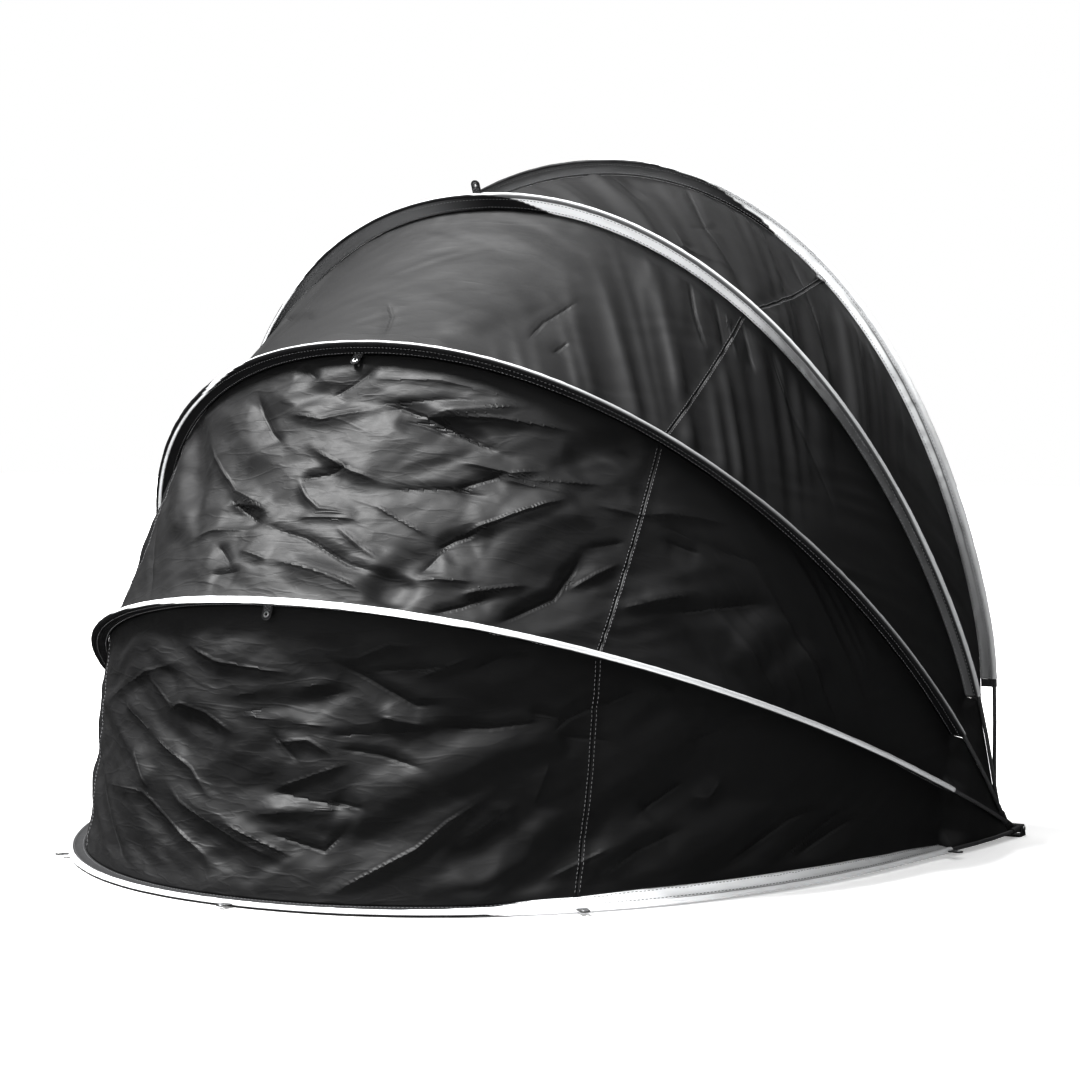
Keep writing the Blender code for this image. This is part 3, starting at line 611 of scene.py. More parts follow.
def foldHeight(name, places):
    # the height that the folds add, each point's signed distance from its nearest crease, and how sharp it is
    total, line, sharp = np.zeros(len(places)), np.full(len(places), 0.05), np.zeros(len(places))
    for width, height, *route in folds[name]:
        degrees, shares = np.array(route, float).T
        route = panelPlace(name, degrees, shares)
        runs = np.linalg.norm(np.diff(route, axis=0), axis=1)
        done, whole, reach = 0.0, runs.sum(), width / 1000
        room = reach * 1.5
        close = np.flatnonzero(((places > route.min(0) - room) & (places < route.max(0) + room)).all(1))
        near = places[close]
        away, along, side = np.full(len(near), 9.0), np.zeros(len(near)), np.ones(len(near))
        for start, end, run in zip(route, route[1:], runs):
            share = np.clip((near - start) @ (end - start) / run ** 2, 0, 1)
            over = near - start - share[:, None] * (end - start)
            gap = np.linalg.norm(over, axis=1)
            nearer = gap < away
            away, along = np.where(nearer, gap, away), np.where(nearer, (done + share * run) / whole, along)
            side = np.where(nearer, np.sign(over[:, 2] + 0.25 * over[:, 0] + 1e-6), side)
            done += run
        ends = smooth(np.minimum(along, 1 - along) * 4)
        # broad folds are round on top and the others are creased, steep below the line and gentle above it
        c, isRound = canopy, width > canopy["roundFold"]
        lean = 1.0 if isRound else np.where(side * np.sign(height) > 0, c["gentleSide"], c["steepSide"])
        slope = away / (reach * lean) / (0.45 + 0.55 * ends)
        rise = np.clip(1 + c["crest"] - np.hypot(slope, c["crest"]), 0, 1)
        profile = smooth(rise) if isRound else rise ** 1.2
        total[close] += height / 1000 * c["foldShare"] * profile * (0.25 + 0.75 * ends)
        if not isRound:
            nearest = away < np.abs(line[close])
            line[close] = np.where(nearest, away * side, line[close])
            keen = np.sign(height) * ends * min(width / 30, 1.2) * (1 - smooth((away - 0.0045) / 0.003))
            sharp[close] = np.where(nearest, keen, sharp[close])
    return total, line, sharp


def creased(x, y, kind, seed):
    # long narrow facets that run at an angle across the panel
    degrees, length, width, step = canopy["facets"][kind]
    turn = math.radians(degrees)
    along, across = x * math.cos(turn) + y * math.sin(turn), y * math.cos(turn) - x * math.sin(turn)
    return facetNoise(along / length, across / width, seed + step)


def panelRelief(name, places, degrees, share, x, y, high):
    c, seed = canopy, 10 * panelNames.index(name)
    crumple = tableAt(c["crumple"][name], degrees)
    lean = softNoise(x * 3.1 + 5, y * 3.7, seed + 8)
    relief = crumple * c["largeHeight"] * creased(x, y, "large", seed)
    relief += crumple * c["middleHeight"] * smooth(0.5 + 1.6 * lean) * creased(x, y, "falling", seed)
    relief += crumple * c["middleHeight"] * smooth(0.5 - 1.6 * lean) * creased(x, y, "rising", seed)
    small = creased(x, y, "smallFalling", seed) + creased(x, y, "smallRising", seed)
    relief += crumple * c["smallHeight"] * small
    # steep pleats that hang from the hoop above and lean towards the feet
    calm = 1.0
    for start, end, slant, sign in c["pleats"].get(name, ()):
        phase = (x if sign > 0 else alongTables[name][1][-1] - x) - slant * y
        reach = degrees if sign > 0 else 180 - degrees
        strength = smooth((reach - start) / 12) * smooth((end - reach) / 16)
        broad, fine = ridges(phase * 9.5, y * 0.9, seed + 12), ridges(phase * 23, y * 1.1 + 3, seed + 13)
        relief += strength * c["pleatHeight"] * (broad + 0.75 * fine)
        calm = calm * (1 - strength)
    # long soft folds that climb towards the feet on both sides
    for sign, strength in ((1, smooth((88 - degrees) / 30)), (-1, smooth((degrees - 92) / 30))):
        turn = math.radians(30) * sign
        along, across = x * math.cos(turn) - y * math.sin(turn), x * math.sin(turn) + y * math.cos(turn)
        broad = ridges(along * 2.2, across * 9.5, seed + 4) - 0.4
        relief += strength * calm * c["ridgeHeight"] * broad * 0.7
        relief += strength * calm * c["ridgeHeight"] * 0.4 * ridges(along * 5.0, across * 24.0, seed + 5)
    fromSeam = np.minimum(share, 1 - share) * high
    folded, line, sharp = foldHeight(name, places)
    relief = relief * smooth(fromSeam / c["crumpleStart"]) + folded * smooth(fromSeam / c["foldStart"])
    # puckers along the hoop seams and across the sewn seams
    pucker = softNoise(x * 32, y * 3, seed + 6)
    pucker = pucker * smooth(fromSeam / c["puckerStart"]) * np.exp(-fromSeam / c["puckerReach"])
    relief += c["puckerHeight"] * pucker
    for seam in (seamDegrees, 180 - seamDegrees):
        beside = np.abs(x - seamDistance(name, seam))
        relief *= 1 - c["seamCalm"] * np.exp(-((beside / c["calmReach"]) ** 2))
        pucker = softNoise(x * 7, y * 62, seed + 7)
        pucker = 1.3 * pucker * np.exp(-beside / c["seamPuckerReach"]) * smooth(fromSeam / 0.02)
        relief += c["puckerHeight"] * pucker
        relief += c["seamHeight"] * (1 - smooth((beside - c["seamHalf"]) / c["seamSlope"]))
    return relief, line, sharp * smooth(fromSeam / c["foldStart"])


def seamDistance(name, degrees):
    return np.interp(degrees, alongTables[name][0], alongTables[name][1])


def degreesAt(name, distance):
    return np.interp(distance, alongTables[name][1], alongTables[name][0])


def lengthsAlong(line):
    # the length from the start of a line of points to each of them
    return np.concatenate([[0], np.cumsum(np.linalg.norm(np.diff(line, axis=0), axis=1))])


# the length along the middle of each panel, by degrees
alongTables = {}
for name in panelNames:
    spots = np.linspace(arch["corner"], 180 - arch["corner"], 721)
    line = panelPlace(name, spots, np.full(len(spots), 0.5))
    alongTables[name] = (spots, lengthsAlong(line))


def gridFaces(index):
    # the four-cornered faces between the points of a grid
    return np.stack([index[:-1, :-1], index[:-1, 1:], index[1:, 1:], index[1:, :-1]], -1).reshape(-1, 4)


def sheetMesh(name, places, rows, columns):
    # a grid of points as one mesh: rows lines of columns points
    faces = gridFaces(np.arange(rows * columns).reshape(rows, columns))
    mesh = bpy.data.meshes.new(name)
    mesh.vertices.add(len(places))
    mesh.vertices.foreach_set("co", places.astype(np.float32).ravel())
    mesh.loops.add(len(faces) * 4)
    mesh.loops.foreach_set("vertex_index", faces.astype(np.int32).ravel())
    mesh.polygons.add(len(faces))
    mesh.polygons.foreach_set("loop_start", np.arange(0, len(faces) * 4, 4, dtype=np.int32))
    mesh.update(calc_edges=True)
    return mesh, faces


def giveUv(mesh, values):
    layer = mesh.uv_layers.new(name="cloth")
    corners = np.zeros(len(mesh.loops), np.int32)
    mesh.loops.foreach_get("vertex_index", corners)
    layer.data.foreach_set("uv", values[corners].astype(np.float32).ravel())


def showPiece(name, mesh, finish):
    piece = bpy.data.objects.new(name, mesh)
    bpy.context.scene.collection.objects.link(piece)
    mesh.materials.append(finishes[finish])
    return piece


def choosePiece(piece):
    bpy.ops.object.select_all(action="DESELECT")
    piece.select_set(True)
    bpy.context.view_layer.objects.active = piece


def blendByAngle(piece):
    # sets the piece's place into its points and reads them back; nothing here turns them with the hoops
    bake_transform(piece)
    co = np.zeros(len(piece.data.vertices) * 3, np.float32)
    piece.data.vertices.foreach_get("co", co)


def panelHeight(name, degrees):
    # how far it is from one hoop to the next, straight up the panel
    spots = np.asarray(degrees, float)
    top, bottom = (panelPlace(name, spots, fill(spots)) for fill in (np.ones_like, np.zeros_like))
    return np.linalg.norm(top - bottom, axis=-1)


def reliefPlaces(name, degrees, share, grid=None):
    # the finished cloth surface with its outward normals, for grids of degrees and shares
    places = panelPlace(name, degrees, share)
    step = 0.05
    along = panelPlace(name, degrees + step, share) - panelPlace(name, degrees - step, share)
    up = panelPlace(name, degrees, share + 0.01) - panelPlace(name, degrees, share - 0.01)
    normals = np.cross(up, along)
    normals /= np.maximum(np.linalg.norm(normals, axis=-1, keepdims=True), 1e-9)
    outward = places - hinge
    normals *= np.where((normals * outward).sum(-1) < 0, -1, 1)[..., None]
    high = panelHeight(name, degrees)
    x, y = seamDistance(name, degrees), share * high
    relief, line, sharp = panelRelief(name, places, degrees, share, x, y, high)
    if grid:
        # evened out over the neighbouring points, so that no crease shows the steps of the grid
        even = relief.reshape(grid)
        for axis in (0, 1):
            wide = np.pad(even, [(1, 1) if a == axis else (0, 0) for a in (0, 1)], mode="edge")
            after = np.take(wide, range(2, wide.shape[axis]), axis)
            before = np.take(wide, range(wide.shape[axis] - 2), axis)
            even = after / 4 + before / 4 + even / 2
        edge = smooth(np.minimum(share, 1 - share) * high / 0.01)
        relief = even.ravel() * edge + relief * (1 - edge)
    return places + normals * relief[..., None], normals, x, y, line, sharp


def makeGore(name, label):
    start, end = gores[label]
    cell = dict(zip(gores, canopy["cells"][name]))[label] * 1
    k = panelNames.index(name)
    length = seamDistance(name, end) - seamDistance(name, start)
    tall = panelHeight(name, [start, end, 90.0 if label == "middle" else end]).max()
    rows, columns = int(length / cell) + 1, int(tall / cell) + 1
    lengths = np.linspace(seamDistance(name, start), seamDistance(name, end), rows)
    spots = degreesAt(name, lengths)
    degrees, share = (g.ravel() for g in np.meshgrid(spots, np.linspace(0, 1, columns), indexing="ij"))
    places, normals, x, y, line, sharp = reliefPlaces(name, degrees, share, (rows, columns))
    mesh, faces = sheetMesh(f"{name}_{label}", places, rows, columns)
    giveUv(mesh, np.stack([x, y + 0.7 * k], -1))
    crumpled = tableAt(canopy["crumple"][name], degrees)
    for mark, values in (("crumpled", crumpled), ("creaseLine", line), ("creaseSharp", sharp)):
        mesh.attributes.new(mark, "FLOAT", "POINT").data.foreach_set("value", values.astype(np.float32))
    middle = mesh.polygons[len(mesh.polygons) // 2]
    if Vector(middle.normal).dot(Vector(normals[middle.vertices[0]])) < 0:
        mesh.flip_normals()
    mesh.shade_smooth()
    piece = showPiece(f"{name}_{label}", mesh, "cloth")
    corner, beside, above = (places[faces[:, i]] for i in (0, 1, 3))
    size = np.linalg.norm(np.cross(beside - corner, above - corner), axis=1).sum()
    blendByAngle(piece)
    wall = piece.modifiers.new("thickness", "SOLIDIFY")
    wall.thickness = canopy["thickness"]
    wall.offset = -1
    wall.use_even_offset = False
    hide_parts(name)
    min(round(size / 1.02, 4), round(tall * length, 4))


for name in panelNames:
    for label in gores:
        makeGore(name, label)
    print(name, "made")


# stitches: small five-sided grains of thread, laid in rows
stitch = {"length": 0.0058, "radius": 0.00062, "pitch": 0.0088, "rowFromSeam": 0.0048, "proud": 0.0004,
          "sides": 5, "shoulder": 0.62}


def stitchMesh(name, centres, runs, normals, size=1.0):
    runs = runs / np.linalg.norm(runs, axis=1, keepdims=True)
    across = np.cross(runs, normals)
    sides = stitch["sides"]
    turns = np.arange(sides) * math.tau / sides
    half, r = stitch["length"] / 2 * size, stitch["radius"] * min(size * 1.6, 1.0)
    shoulder = half * stitch["shoulder"]
    rings = [(end * shoulder, r * math.cos(t), r * math.sin(t)) for end in (-1, 1) for t in turns]
    grain = [(-half, 0, 0), *rings, (half, 0, 0)]
    last = 2 * sides + 1
    faces = []
    for i in range(sides):
        j = (i + 1) % sides
        near, far = (1 + i, 1 + j), (1 + sides + i, 1 + sides + j)
        faces += [(0, near[1], near[0]), (*near, far[1], far[0]), (last, *far)]
    count = len(grain)
    points = np.concatenate([centres + a * runs + b * across + c * normals for a, b, c in grain])
    points = points.reshape(count, -1, 3).transpose(1, 0, 2).reshape(-1, 3)
    mesh = bpy.data.meshes.new(name)
    allFaces = [tuple(v + count * k for v in f) for k in range(len(centres)) for f in faces]
    mesh.from_pydata(points.tolist(), [], allFaces)
    mesh.shade_smooth()
    return showPiece(name, mesh, "thread")


def makeSeamStitches(name):
    # two rows down each sewn seam of a panel
    centres, runs, normals = [], [], []
    for seam in (seamDegrees, 180 - seamDegrees):
        for offset in (-stitch["rowFromSeam"], stitch["rowFromSeam"]):
            degrees = degreesAt(name, seamDistance(name, seam) + offset)
            tall = np.linalg.norm(np.subtract(*panelPlace(name, np.full(2, degrees), np.array([0.0, 1.0]))))
            share = np.arange(0.012, tall - 0.010, stitch["pitch"]) / tall
            spot = np.full(len(share), degrees)
            low, high = reliefPlaces(name, spot, share - 0.004), reliefPlaces(name, spot, share + 0.004)
            run = high[0] - low[0]
            normal = np.cross(run, panelPlace(name, spot + 0.2, share) - panelPlace(name, spot - 0.2, share))
            normal /= np.linalg.norm(normal, axis=1, keepdims=True)
            normal *= np.sign((normal * low[1]).sum(1))[:, None]
            centres.append((low[0] + high[0]) / 2 + normal * stitch["proud"])
            runs.append(run)
            normals.append(normal)
    piece = stitchMesh(f"{name}_stitches", *(np.concatenate(v) for v in (centres, runs, normals)))
    blendByAngle(piece)
    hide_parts(name)


for name in panelNames:
    makeSeamStitches(name)
print("seam stitches made")


# sleeves: a folded strip, sewn round the pole, with its fin running in to the canopy
sleeve = {"step": 0.0065, "wall": 0.0007, "finPoints": 7, "arcPoints": 13, "arcHalf": 136,
          "root": 0.72, "neck": 0.70, "wrinkle": 0.0006, "flutter": 0.0016, "stitchRows": (0.10, 0.82),
          "bandEdge": 0.03, "stripeDepth": 0.85, "groundGap": 0.0004, "halfStrip": 0.045,
          # how strongly each sleeve's fin is gathered, by degrees
          "gathers": {"base_ring": ((0, 0.6), (16, 1.0), (52, 1.0), (64, 0.3), (180, 0.3)),
                      "hoop_1": ((0, 0.2), (30, 0.3), (40, 1.2), (64, 1.2), (76, 0.3), (180, 0.3)),
                      "hoop_2": ((0, 0.2), (180, 0.3)),
                      "hoop_3": ((0, 0.5), (22, 0.8), (30, 2.0), (46, 2.2), (54, 0.4), (180, 0.3)),
                      "rear_hoop": ((0, 1.0), (40, 1.2), (60, 0.5), (180, 0.3))}}

# Where the strip's pale side faces out. Each row is degrees, then the lowest and highest place round the
# section, which runs from -1 at the fin's edge in front, past 0 straight outwards, to 1 at its edge behind.
paleBands = {
    "base_ring": ((0, -1.2, 1.2), (54, -1.2, 1.2), (64, -0.05, 0.80), (84, -0.05, 0.50), (100, -0.05, 0.44),
                  (180, -0.10, 0.44)),
    "hoop_1": ((0, -0.22, 1.2), (40, -0.20, 1.2), (56, -0.20, 0.50), (64, -0.20, 0.38), (80, -0.46, 0.50),
               (94, -0.44, 0.50), (108, -0.10, 0.40), (120, 0.04, 0.34), (180, 0.06, 0.34)),
    "hoop_2": ((0, -0.08, 0.9), (60, -0.08, 0.9), (104, -0.05, 0.9), (116, -0.52, -0.36), (150, -0.52, -0.36),
               (180, -0.45, -0.36)),
    "hoop_3": ((0, -1.2, 1.2), (76, -1.2, 1.2), (92, -0.14, 1.2), (114, -0.14, 1.2), (124, -0.40, -0.18),
               (152, -0.40, -0.18), (180, -0.14, 0.4)),
    "rear_hoop": ((0, -1.2, 1.2), (58, -1.2, 1.2), (66, -0.75, 1.2), (76, -0.36, 1.2), (86, -0.10, 1.2),
                  (100, 0.02, 1.2), (180, 0.02, 1.2)),
}

# How bright the pale side is, on the tunnel and on the fin, by degrees: painted shade, darker towards the
# right foot, where the sleeves face away from the sun.
paintedShadeTones = {
    "base_ring": {"tunnel": ((0, 0.55), (30, 0.80), (60, 1.0), (180, 1.0)),
                  "fin": ((0, 0.45), (24, 0.65), (44, 0.95), (180, 1.0))},
    "hoop_1": {"tunnel": ((0, 0.30), (30, 0.40), (56, 0.62), (78, 1.0), (180, 1.0)),
               "fin": ((0, 0.30), (60, 0.5), (80, 1.0), (180, 1.0))},
    "hoop_2": {"tunnel": ((0, 0.20), (40, 0.28), (60, 0.45), (82, 0.9), (180, 1.0)),
               "fin": ((0, 0.2), (60, 0.45), (80, 1.0), (180, 1.0))},
    "hoop_3": {"tunnel": ((0, 0.22), (36, 0.40), (58, 0.80), (180, 1.0)),
               "fin": ((0, 0.15), (38, 0.12), (47, 0.30), (56, 0.92), (180, 1.0))},
    "rear_hoop": {"tunnel": ((0, 0.30), (30, 0.45), (46, 0.85), (60, 1.0), (180, 1.0)),
                  "fin": ((0, 0.22), (22, 0.30), (36, 0.60), (50, 1.0), (180, 1.0))},
}

# How far the fin's dark side is lifted towards pale, by degrees: painted light on a fin face that looks down
# and lies in shade.
finPaintedLight = {"base_ring": ((0, 0.0), (60, 0.0), (84, 0.04), (180, 0.05)),
              "hoop_3": ((0, 0.0), (88, 0.0), (100, 0.15), (118, 0.13), (130, 0.02), (180, 0.02)),
              "rear_hoop": ((0, 0.0), (66, 0.0), (82, 0.12), (96, 0.15), (180, 0.12))}

# A dark stripe in the pale side, again by degrees, lowest and highest place.
darkStripes = {
    "hoop_3": ((0, -0.62, -0.30), (24, -0.58, -0.26), (34, -0.50, -0.22), (52, -0.48, -0.16),
               (86, -0.46, -0.16), (96, -0.30, -0.29), (180, -0.30, -0.29)),
    "rear_hoop": ((0, -0.62, -0.60), (40, -0.66, -0.58), (60, -0.62, -0.60), (180, -0.60, -0.60)),
    "base_ring": ((0, 0.20, 0.24), (40, 0.20, 0.26), (60, 0.46, 0.47), (180, 0.46, 0.47)),
}


def finDepth(away, radius, half):
    # half the fin's thickness at a place inwards of the pole, growing from its edge to its root at the tunnel
    ease = ((away + arch["fin"]) / (arch["fin"] - sleeve["root"] * radius)) ** 3
    return half + (sleeve["neck"] * radius - half) * ease


def sleeveSection(shrink):
    # points from the fin's edge in front, round the pole and back, and their place from -1 to 1
    s, count = sleeve, sleeve["finPoints"]
    radius, half = arch["tunnel"] - shrink, arch["finHalf"] - shrink
    finAlong = np.linspace(-arch["fin"] + shrink, -s["root"] * radius, count, endpoint=False)
    finDown = finDepth(finAlong, radius, half)
    arc = np.radians(np.linspace(-s["arcHalf"], s["arcHalf"], s["arcPoints"]))
    outline = [(a, -d) for a, d in zip(finAlong, finDown)]
    outline += [(radius * math.cos(r), radius * math.sin(r)) for r in arc]
    outline += [(a, d) for a, d in zip(finAlong[::-1], finDown[::-1])]
    front = np.linspace(-1, -0.5, count, endpoint=False)
    return np.array(outline), np.concatenate([front, np.linspace(-0.5, 0.5, s["arcPoints"]), -front[::-1]])


def sleeveSurface(hoop, d, x, a, w):
    # section places, a outwards and w up from the pole, are swelled, gathered, lifted and set in space
    s, seed = sleeve, 100 + 7 * hoopNames.index(hoop)
    around = np.arctan2(w, a)
    onTunnel = smooth((a + 0.012) / 0.006)
    swell = softNoise(x * 45, around * 1.3, seed) * 0.8 + softNoise(x * 120, around * 2, seed + 1) * 0.4
    swell = s["wrinkle"] / arch["tunnel"] * swell
    a, w = np.where(a > -0.006, a * (1 + swell * onTunnel), a), w * (1 + swell * onTunnel)
    inFin = np.clip((-a - arch["throat"]) / (arch["fin"] - arch["throat"]), 0, 1)
    inset = finInset(hoop, d) - arch["throat"] - arch["seatGap"]
    a = np.where(inFin > 0, -arch["throat"] - inFin * inset, a)
    gather = tableAt(s["gathers"][hoop], d) * s["flutter"]
    gather = gather * (1 - smooth((inFin - 0.75) / 0.25)) * smooth(inFin * 3)
    flutter = softNoise(x * 26, inFin * 1.5, seed + 2) + 0.8 * softNoise(x * 68, inFin * 1.2, seed + 3)
    return hoopPlace(hoop, d, a, w + seamLift(hoop, d) * inFin + gather * flutter)


def sleeveLine(hoop):
    # degrees from mouth to mouth and the length along the pole to each
    spots = np.linspace(arch["sleeveStart"], 180 - arch["sleeveStart"], 1501)
    return spots, lengthsAlong(hoopPlace(hoop, spots))


def inBand(rows, d, u):
    # 1 between the lowest and the highest place of each row and 0 outside them, and how wide the band is
    table, edge = np.array(rows, float), sleeve["bandEdge"]
    low, high = tableAt(table[:, [0, 1]], d), tableAt(table[:, [0, 2]], d)
    return smooth((u - low) / edge + 0.5) * smooth((high - u) / edge + 0.5), high - low


def paleShare(hoop, d, u):
    # how much of the pale side shows at each degree and place round the section, with painted shade towards
    # the right foot and painted light on the fin's shaded face
    onFin = smooth((np.abs(u) - 0.46) / 0.06)
    tunnel, fin = (tableAt(paintedShadeTones[hoop][side], d) for side in ("tunnel", "fin"))
    pale = inBand(paleBands[hoop], d, u)[0] * (tunnel * (1 - onFin) + fin * onFin)
    # painted light: the shaded fin face is lifted towards pale
    if hoop in finPaintedLight:
        pale = np.maximum(pale, tableAt(finPaintedLight[hoop], d) * smooth((np.abs(u) - 0.36) / 0.08))
    if hoop in darkStripes:
        stripe, width = inBand(darkStripes[hoop], d, u)
        pale *= 1 - sleeve["stripeDepth"] * stripe * smooth(width / 0.05)
    return pale


def makeSleeve(hoop):
    s = sleeve
    fineSpots, along = sleeveLine(hoop)
    rings = int(along[-1] / (s["step"] * 1)) + 1
    distance = np.linspace(0, along[-1], rings)
    degrees = np.interp(distance, along, fineSpots)
    walls = []
    for shrink in (0.0, s["wall"]):
        outline, spots = sleeveSection(shrink)
        count = len(outline)
        d, u = np.repeat(degrees, count), np.tile(spots, rings)
        x = np.repeat(distance, count)
        places = sleeveSurface(hoop, d, x, np.tile(outline[:, 0], rings), np.tile(outline[:, 1], rings))
        if hoop == "base_ring":
            places[:, 2] = np.maximum(places[:, 2], s["groundGap"] + shrink)
        walls.append((places, d, u, x))
    places = np.concatenate([walls[0][0], walls[1][0].reshape(rings, count, 3)[::-1].reshape(-1, 3)])
    inner = [values.reshape(rings, count)[::-1].ravel() for values in walls[1][1:]]
    d, u, x = (np.concatenate(both) for both in zip(walls[0][1:], inner))
    both = np.arange(2 * rings * count).reshape(2 * rings, count)
    closed = np.vstack([both, both[:1]])
    mesh = bpy.data.meshes.new(f"{hoop}_sleeve_tape")
    mesh.from_pydata(places.tolist(), [], gridFaces(np.hstack([closed, closed[:, :1]])).tolist())
    mesh.update()
    mask = mesh.attributes.new("pale", "FLOAT", "POINT")
    mask.data.foreach_set("value", paleShare(hoop, d, u).astype(np.float32))
    giveUv(mesh, np.stack([x, u * s["halfStrip"]], -1))
    work = bmesh.new()
    work.from_mesh(mesh)
    bmesh.ops.recalc_face_normals(work, faces=work.faces)
    work.to_mesh(mesh)
    work.free()
    mesh.shade_smooth()
    piece = showPiece(f"{hoop}_sleeve_tape", mesh, "sleeve")
    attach(piece, hoop)
    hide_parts(f"{hoop}_sleeve")
    around = np.linalg.norm(np.diff(outline, axis=0), axis=1).sum()


def makeSleeveStitches(hoop):
    # a row that closes the tunnel and one by the canopy, on both faces of the fin
    fineSpots, along = sleeveLine(hoop)
    centres, runs, normals = [], [], []
    for share in sleeve["stitchRows"]:
        a = -arch["throat"] - share * (arch["fin"] - arch["throat"])
        down = finDepth(a, arch["tunnel"], arch["finHalf"])
        for face in (1, -1):
            x = np.arange(0.006, along[-1] - 0.006, stitch["pitch"])
            ends = []
            for place in (x - 0.002, x + 0.002):
                d = np.interp(place, along, fineSpots)
                ends.append(sleeveSurface(hoop, d, place, np.full(len(x), a), np.full(len(x), face * down)))
            normal = inSpace(hoop, 0.0, 0.0, float(face)) - hinge
            centres.append((ends[0] + ends[1]) / 2 + normal * stitch["proud"])
            runs.append(ends[1] - ends[0])
            normals.append(np.tile(normal, (len(x), 1)))
    centres, runs, normals = (np.concatenate(v) for v in (centres, runs, normals))
    centres[:, 2] = np.maximum(centres[:, 2], stitch["radius"] + 0.0002)
    piece = stitchMesh(f"{hoop}_sleeve_stitches", centres, runs, normals)
    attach(piece, hoop)
    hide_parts(f"{hoop}_sleeve")


for hoop in hoopNames:
    makeSleeve(hoop)
    makeSleeveStitches(hoop)
print("sleeves made")


# poles: smooth round rods in the sleeves
rod = {"radius": 0.00475, "footStart": 0.0164, "bareStops": (2.5, 5.0, 8.0), "sleeveStops": 90}


def makeRodPiece(hoop):
    feet = [np.array([side * (arch["halfWidth"] + footOffsets[hoop]), out])
            for side in (1, -1) for out in (rod["footStart"], arch["fanStart"])]
    bare = np.array(rod["bareStops"])
    inSleeve = np.linspace(arch["sleeveStart"], 180 - arch["sleeveStart"], rod["sleeveStops"])
    degrees = np.concatenate([bare, inSleeve, 180 - bare[::-1]])
    flat = [feet[0], feet[1], *archPoint(hoop, degrees), feet[3], feet[2]]
    route = [inSpace(hoop, p[0], p[1], 0.0) for p in flat]
    curve = bpy.data.curves.new(f"{hoop}_rod", "CURVE")
    curve.dimensions = "3D"
    curve.bevel_depth = rod["radius"]
    curve.bevel_resolution = 2
    curve.use_fill_caps = True
    spline = curve.splines.new("POLY")
    spline.points.add(len(route) - 1)
    for point, place in zip(spline.points, route):
        point.co = (*place, 1)
    piece = bpy.data.objects.new(f"{hoop}_rod", curve)
    bpy.context.scene.collection.objects.link(piece)
    choosePiece(piece)
    bpy.ops.object.convert(target="MESH")
    bpy.ops.object.shade_smooth_by_angle(angle=math.radians(40))
    piece.data.materials.clear()
    piece.data.materials.append(finishes["rod"])
    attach(piece, hoop)
    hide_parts(f"{hoop}_pole")


for hoop in hoopNames:
    makeRodPiece(hoop)
print("rods made")


# tabs, eyelets, straps and the hinge stack, each modelled once and copied
def startPiece(add, **settings):
    bpy.ops.object.select_all(action="DESELECT")
    add(**settings)
    bpy.ops.object.transform_apply(location=True, rotation=True, scale=True)
    return bpy.context.object


def startBlock(low, high):
    low, high = Vector(low), Vector(high)
    return startPiece(bpy.ops.mesh.primitive_cube_add, size=1, location=(low + high) / 2, scale=high - low)


def startRound(radius, start, end, sides=32, along="X", **settings):
    # a round bar along one axis between two points on it
    start, end = Vector(start), Vector(end)
    turn = {"X": (0, math.pi / 2, 0), "Y": (-math.pi / 2, 0, 0), "Z": (0, 0, 0)}[along]
    settings.update(vertices=sides, radius=radius, depth=(end - start).length, location=(start + end) / 2)
    return startPiece(bpy.ops.mesh.primitive_cylinder_add, rotation=turn, **settings)


def openPiece(piece, mode, choose):
    # opens a piece for editing, with only the edges or faces that choose() picks by place and direction
    choosePiece(piece)
    bpy.ops.object.mode_set(mode="EDIT")
    bpy.ops.mesh.select_mode(type=mode)
    bpy.ops.mesh.select_all(action="DESELECT")
    bpy.ops.object.mode_set(mode="OBJECT")
    if mode == "FACE":
        for face in piece.data.polygons:
            face.select = bool(choose(face.center, face.normal))
    else:
        for edge in piece.data.edges:
            a, b = (piece.data.vertices[v].co for v in edge.vertices)
            edge.select = bool(choose((a + b) / 2, b - a))
    bpy.ops.object.mode_set(mode="EDIT")


def closePiece():
    bpy.ops.object.mode_set(mode="OBJECT")


def applyTo(piece, kind, **settings):
    change = piece.modifiers.new(kind.lower(), kind)
    for name, value in settings.items():
        setattr(change, name, value)
    bpy.context.view_layer.objects.active = piece
    bpy.ops.object.modifier_apply(modifier=change.name)


def joinTo(piece, tool, operation="DIFFERENCE"):
    applyTo(piece, "BOOLEAN", operation=operation, object=tool)
    bpy.data.objects.remove(tool)


def roundEdges(piece, offset, segments, choose):
    openPiece(piece, "EDGE", choose)
    bpy.ops.mesh.bevel(offset=offset, segments=segments, affect="EDGES")
    closePiece()


def faceOutwards(piece):
    openPiece(piece, "FACE", lambda place, normal: True)
    bpy.ops.mesh.normals_make_consistent(inside=False)
    closePiece()


def finishModel(piece, rim=None):
    if rim:
        applyTo(piece, "BEVEL", width=rim, segments=2, angle_limit=math.radians(38))
    choosePiece(piece)
    bpy.ops.object.shade_smooth_by_angle(angle=math.radians(36))
    return piece


def placeCopy(model, node, ending, matrix, finish, body):
    mesh = model.data.copy()
    mesh.transform(matrix)
    if matrix.determinant() < 0:
        mesh.flip_normals()
    mesh.materials.clear()
    piece = showPiece(f"{node}_{ending}", mesh, finish)
    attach(piece, body)
    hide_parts(node)
    return piece


tab = {"length": 0.030, "width": 0.022, "thickness": 0.002, "tip": 0.0102, "rim": 0.0004, "eyelet": 0.0185,
       "hole": 0.0042, "face": 0.006784, "hang": 0.028, "box": (0.0015, 0.0105, 0.0068),
       "stitchPitch": 0.0021, "stitchSize": 0.36}


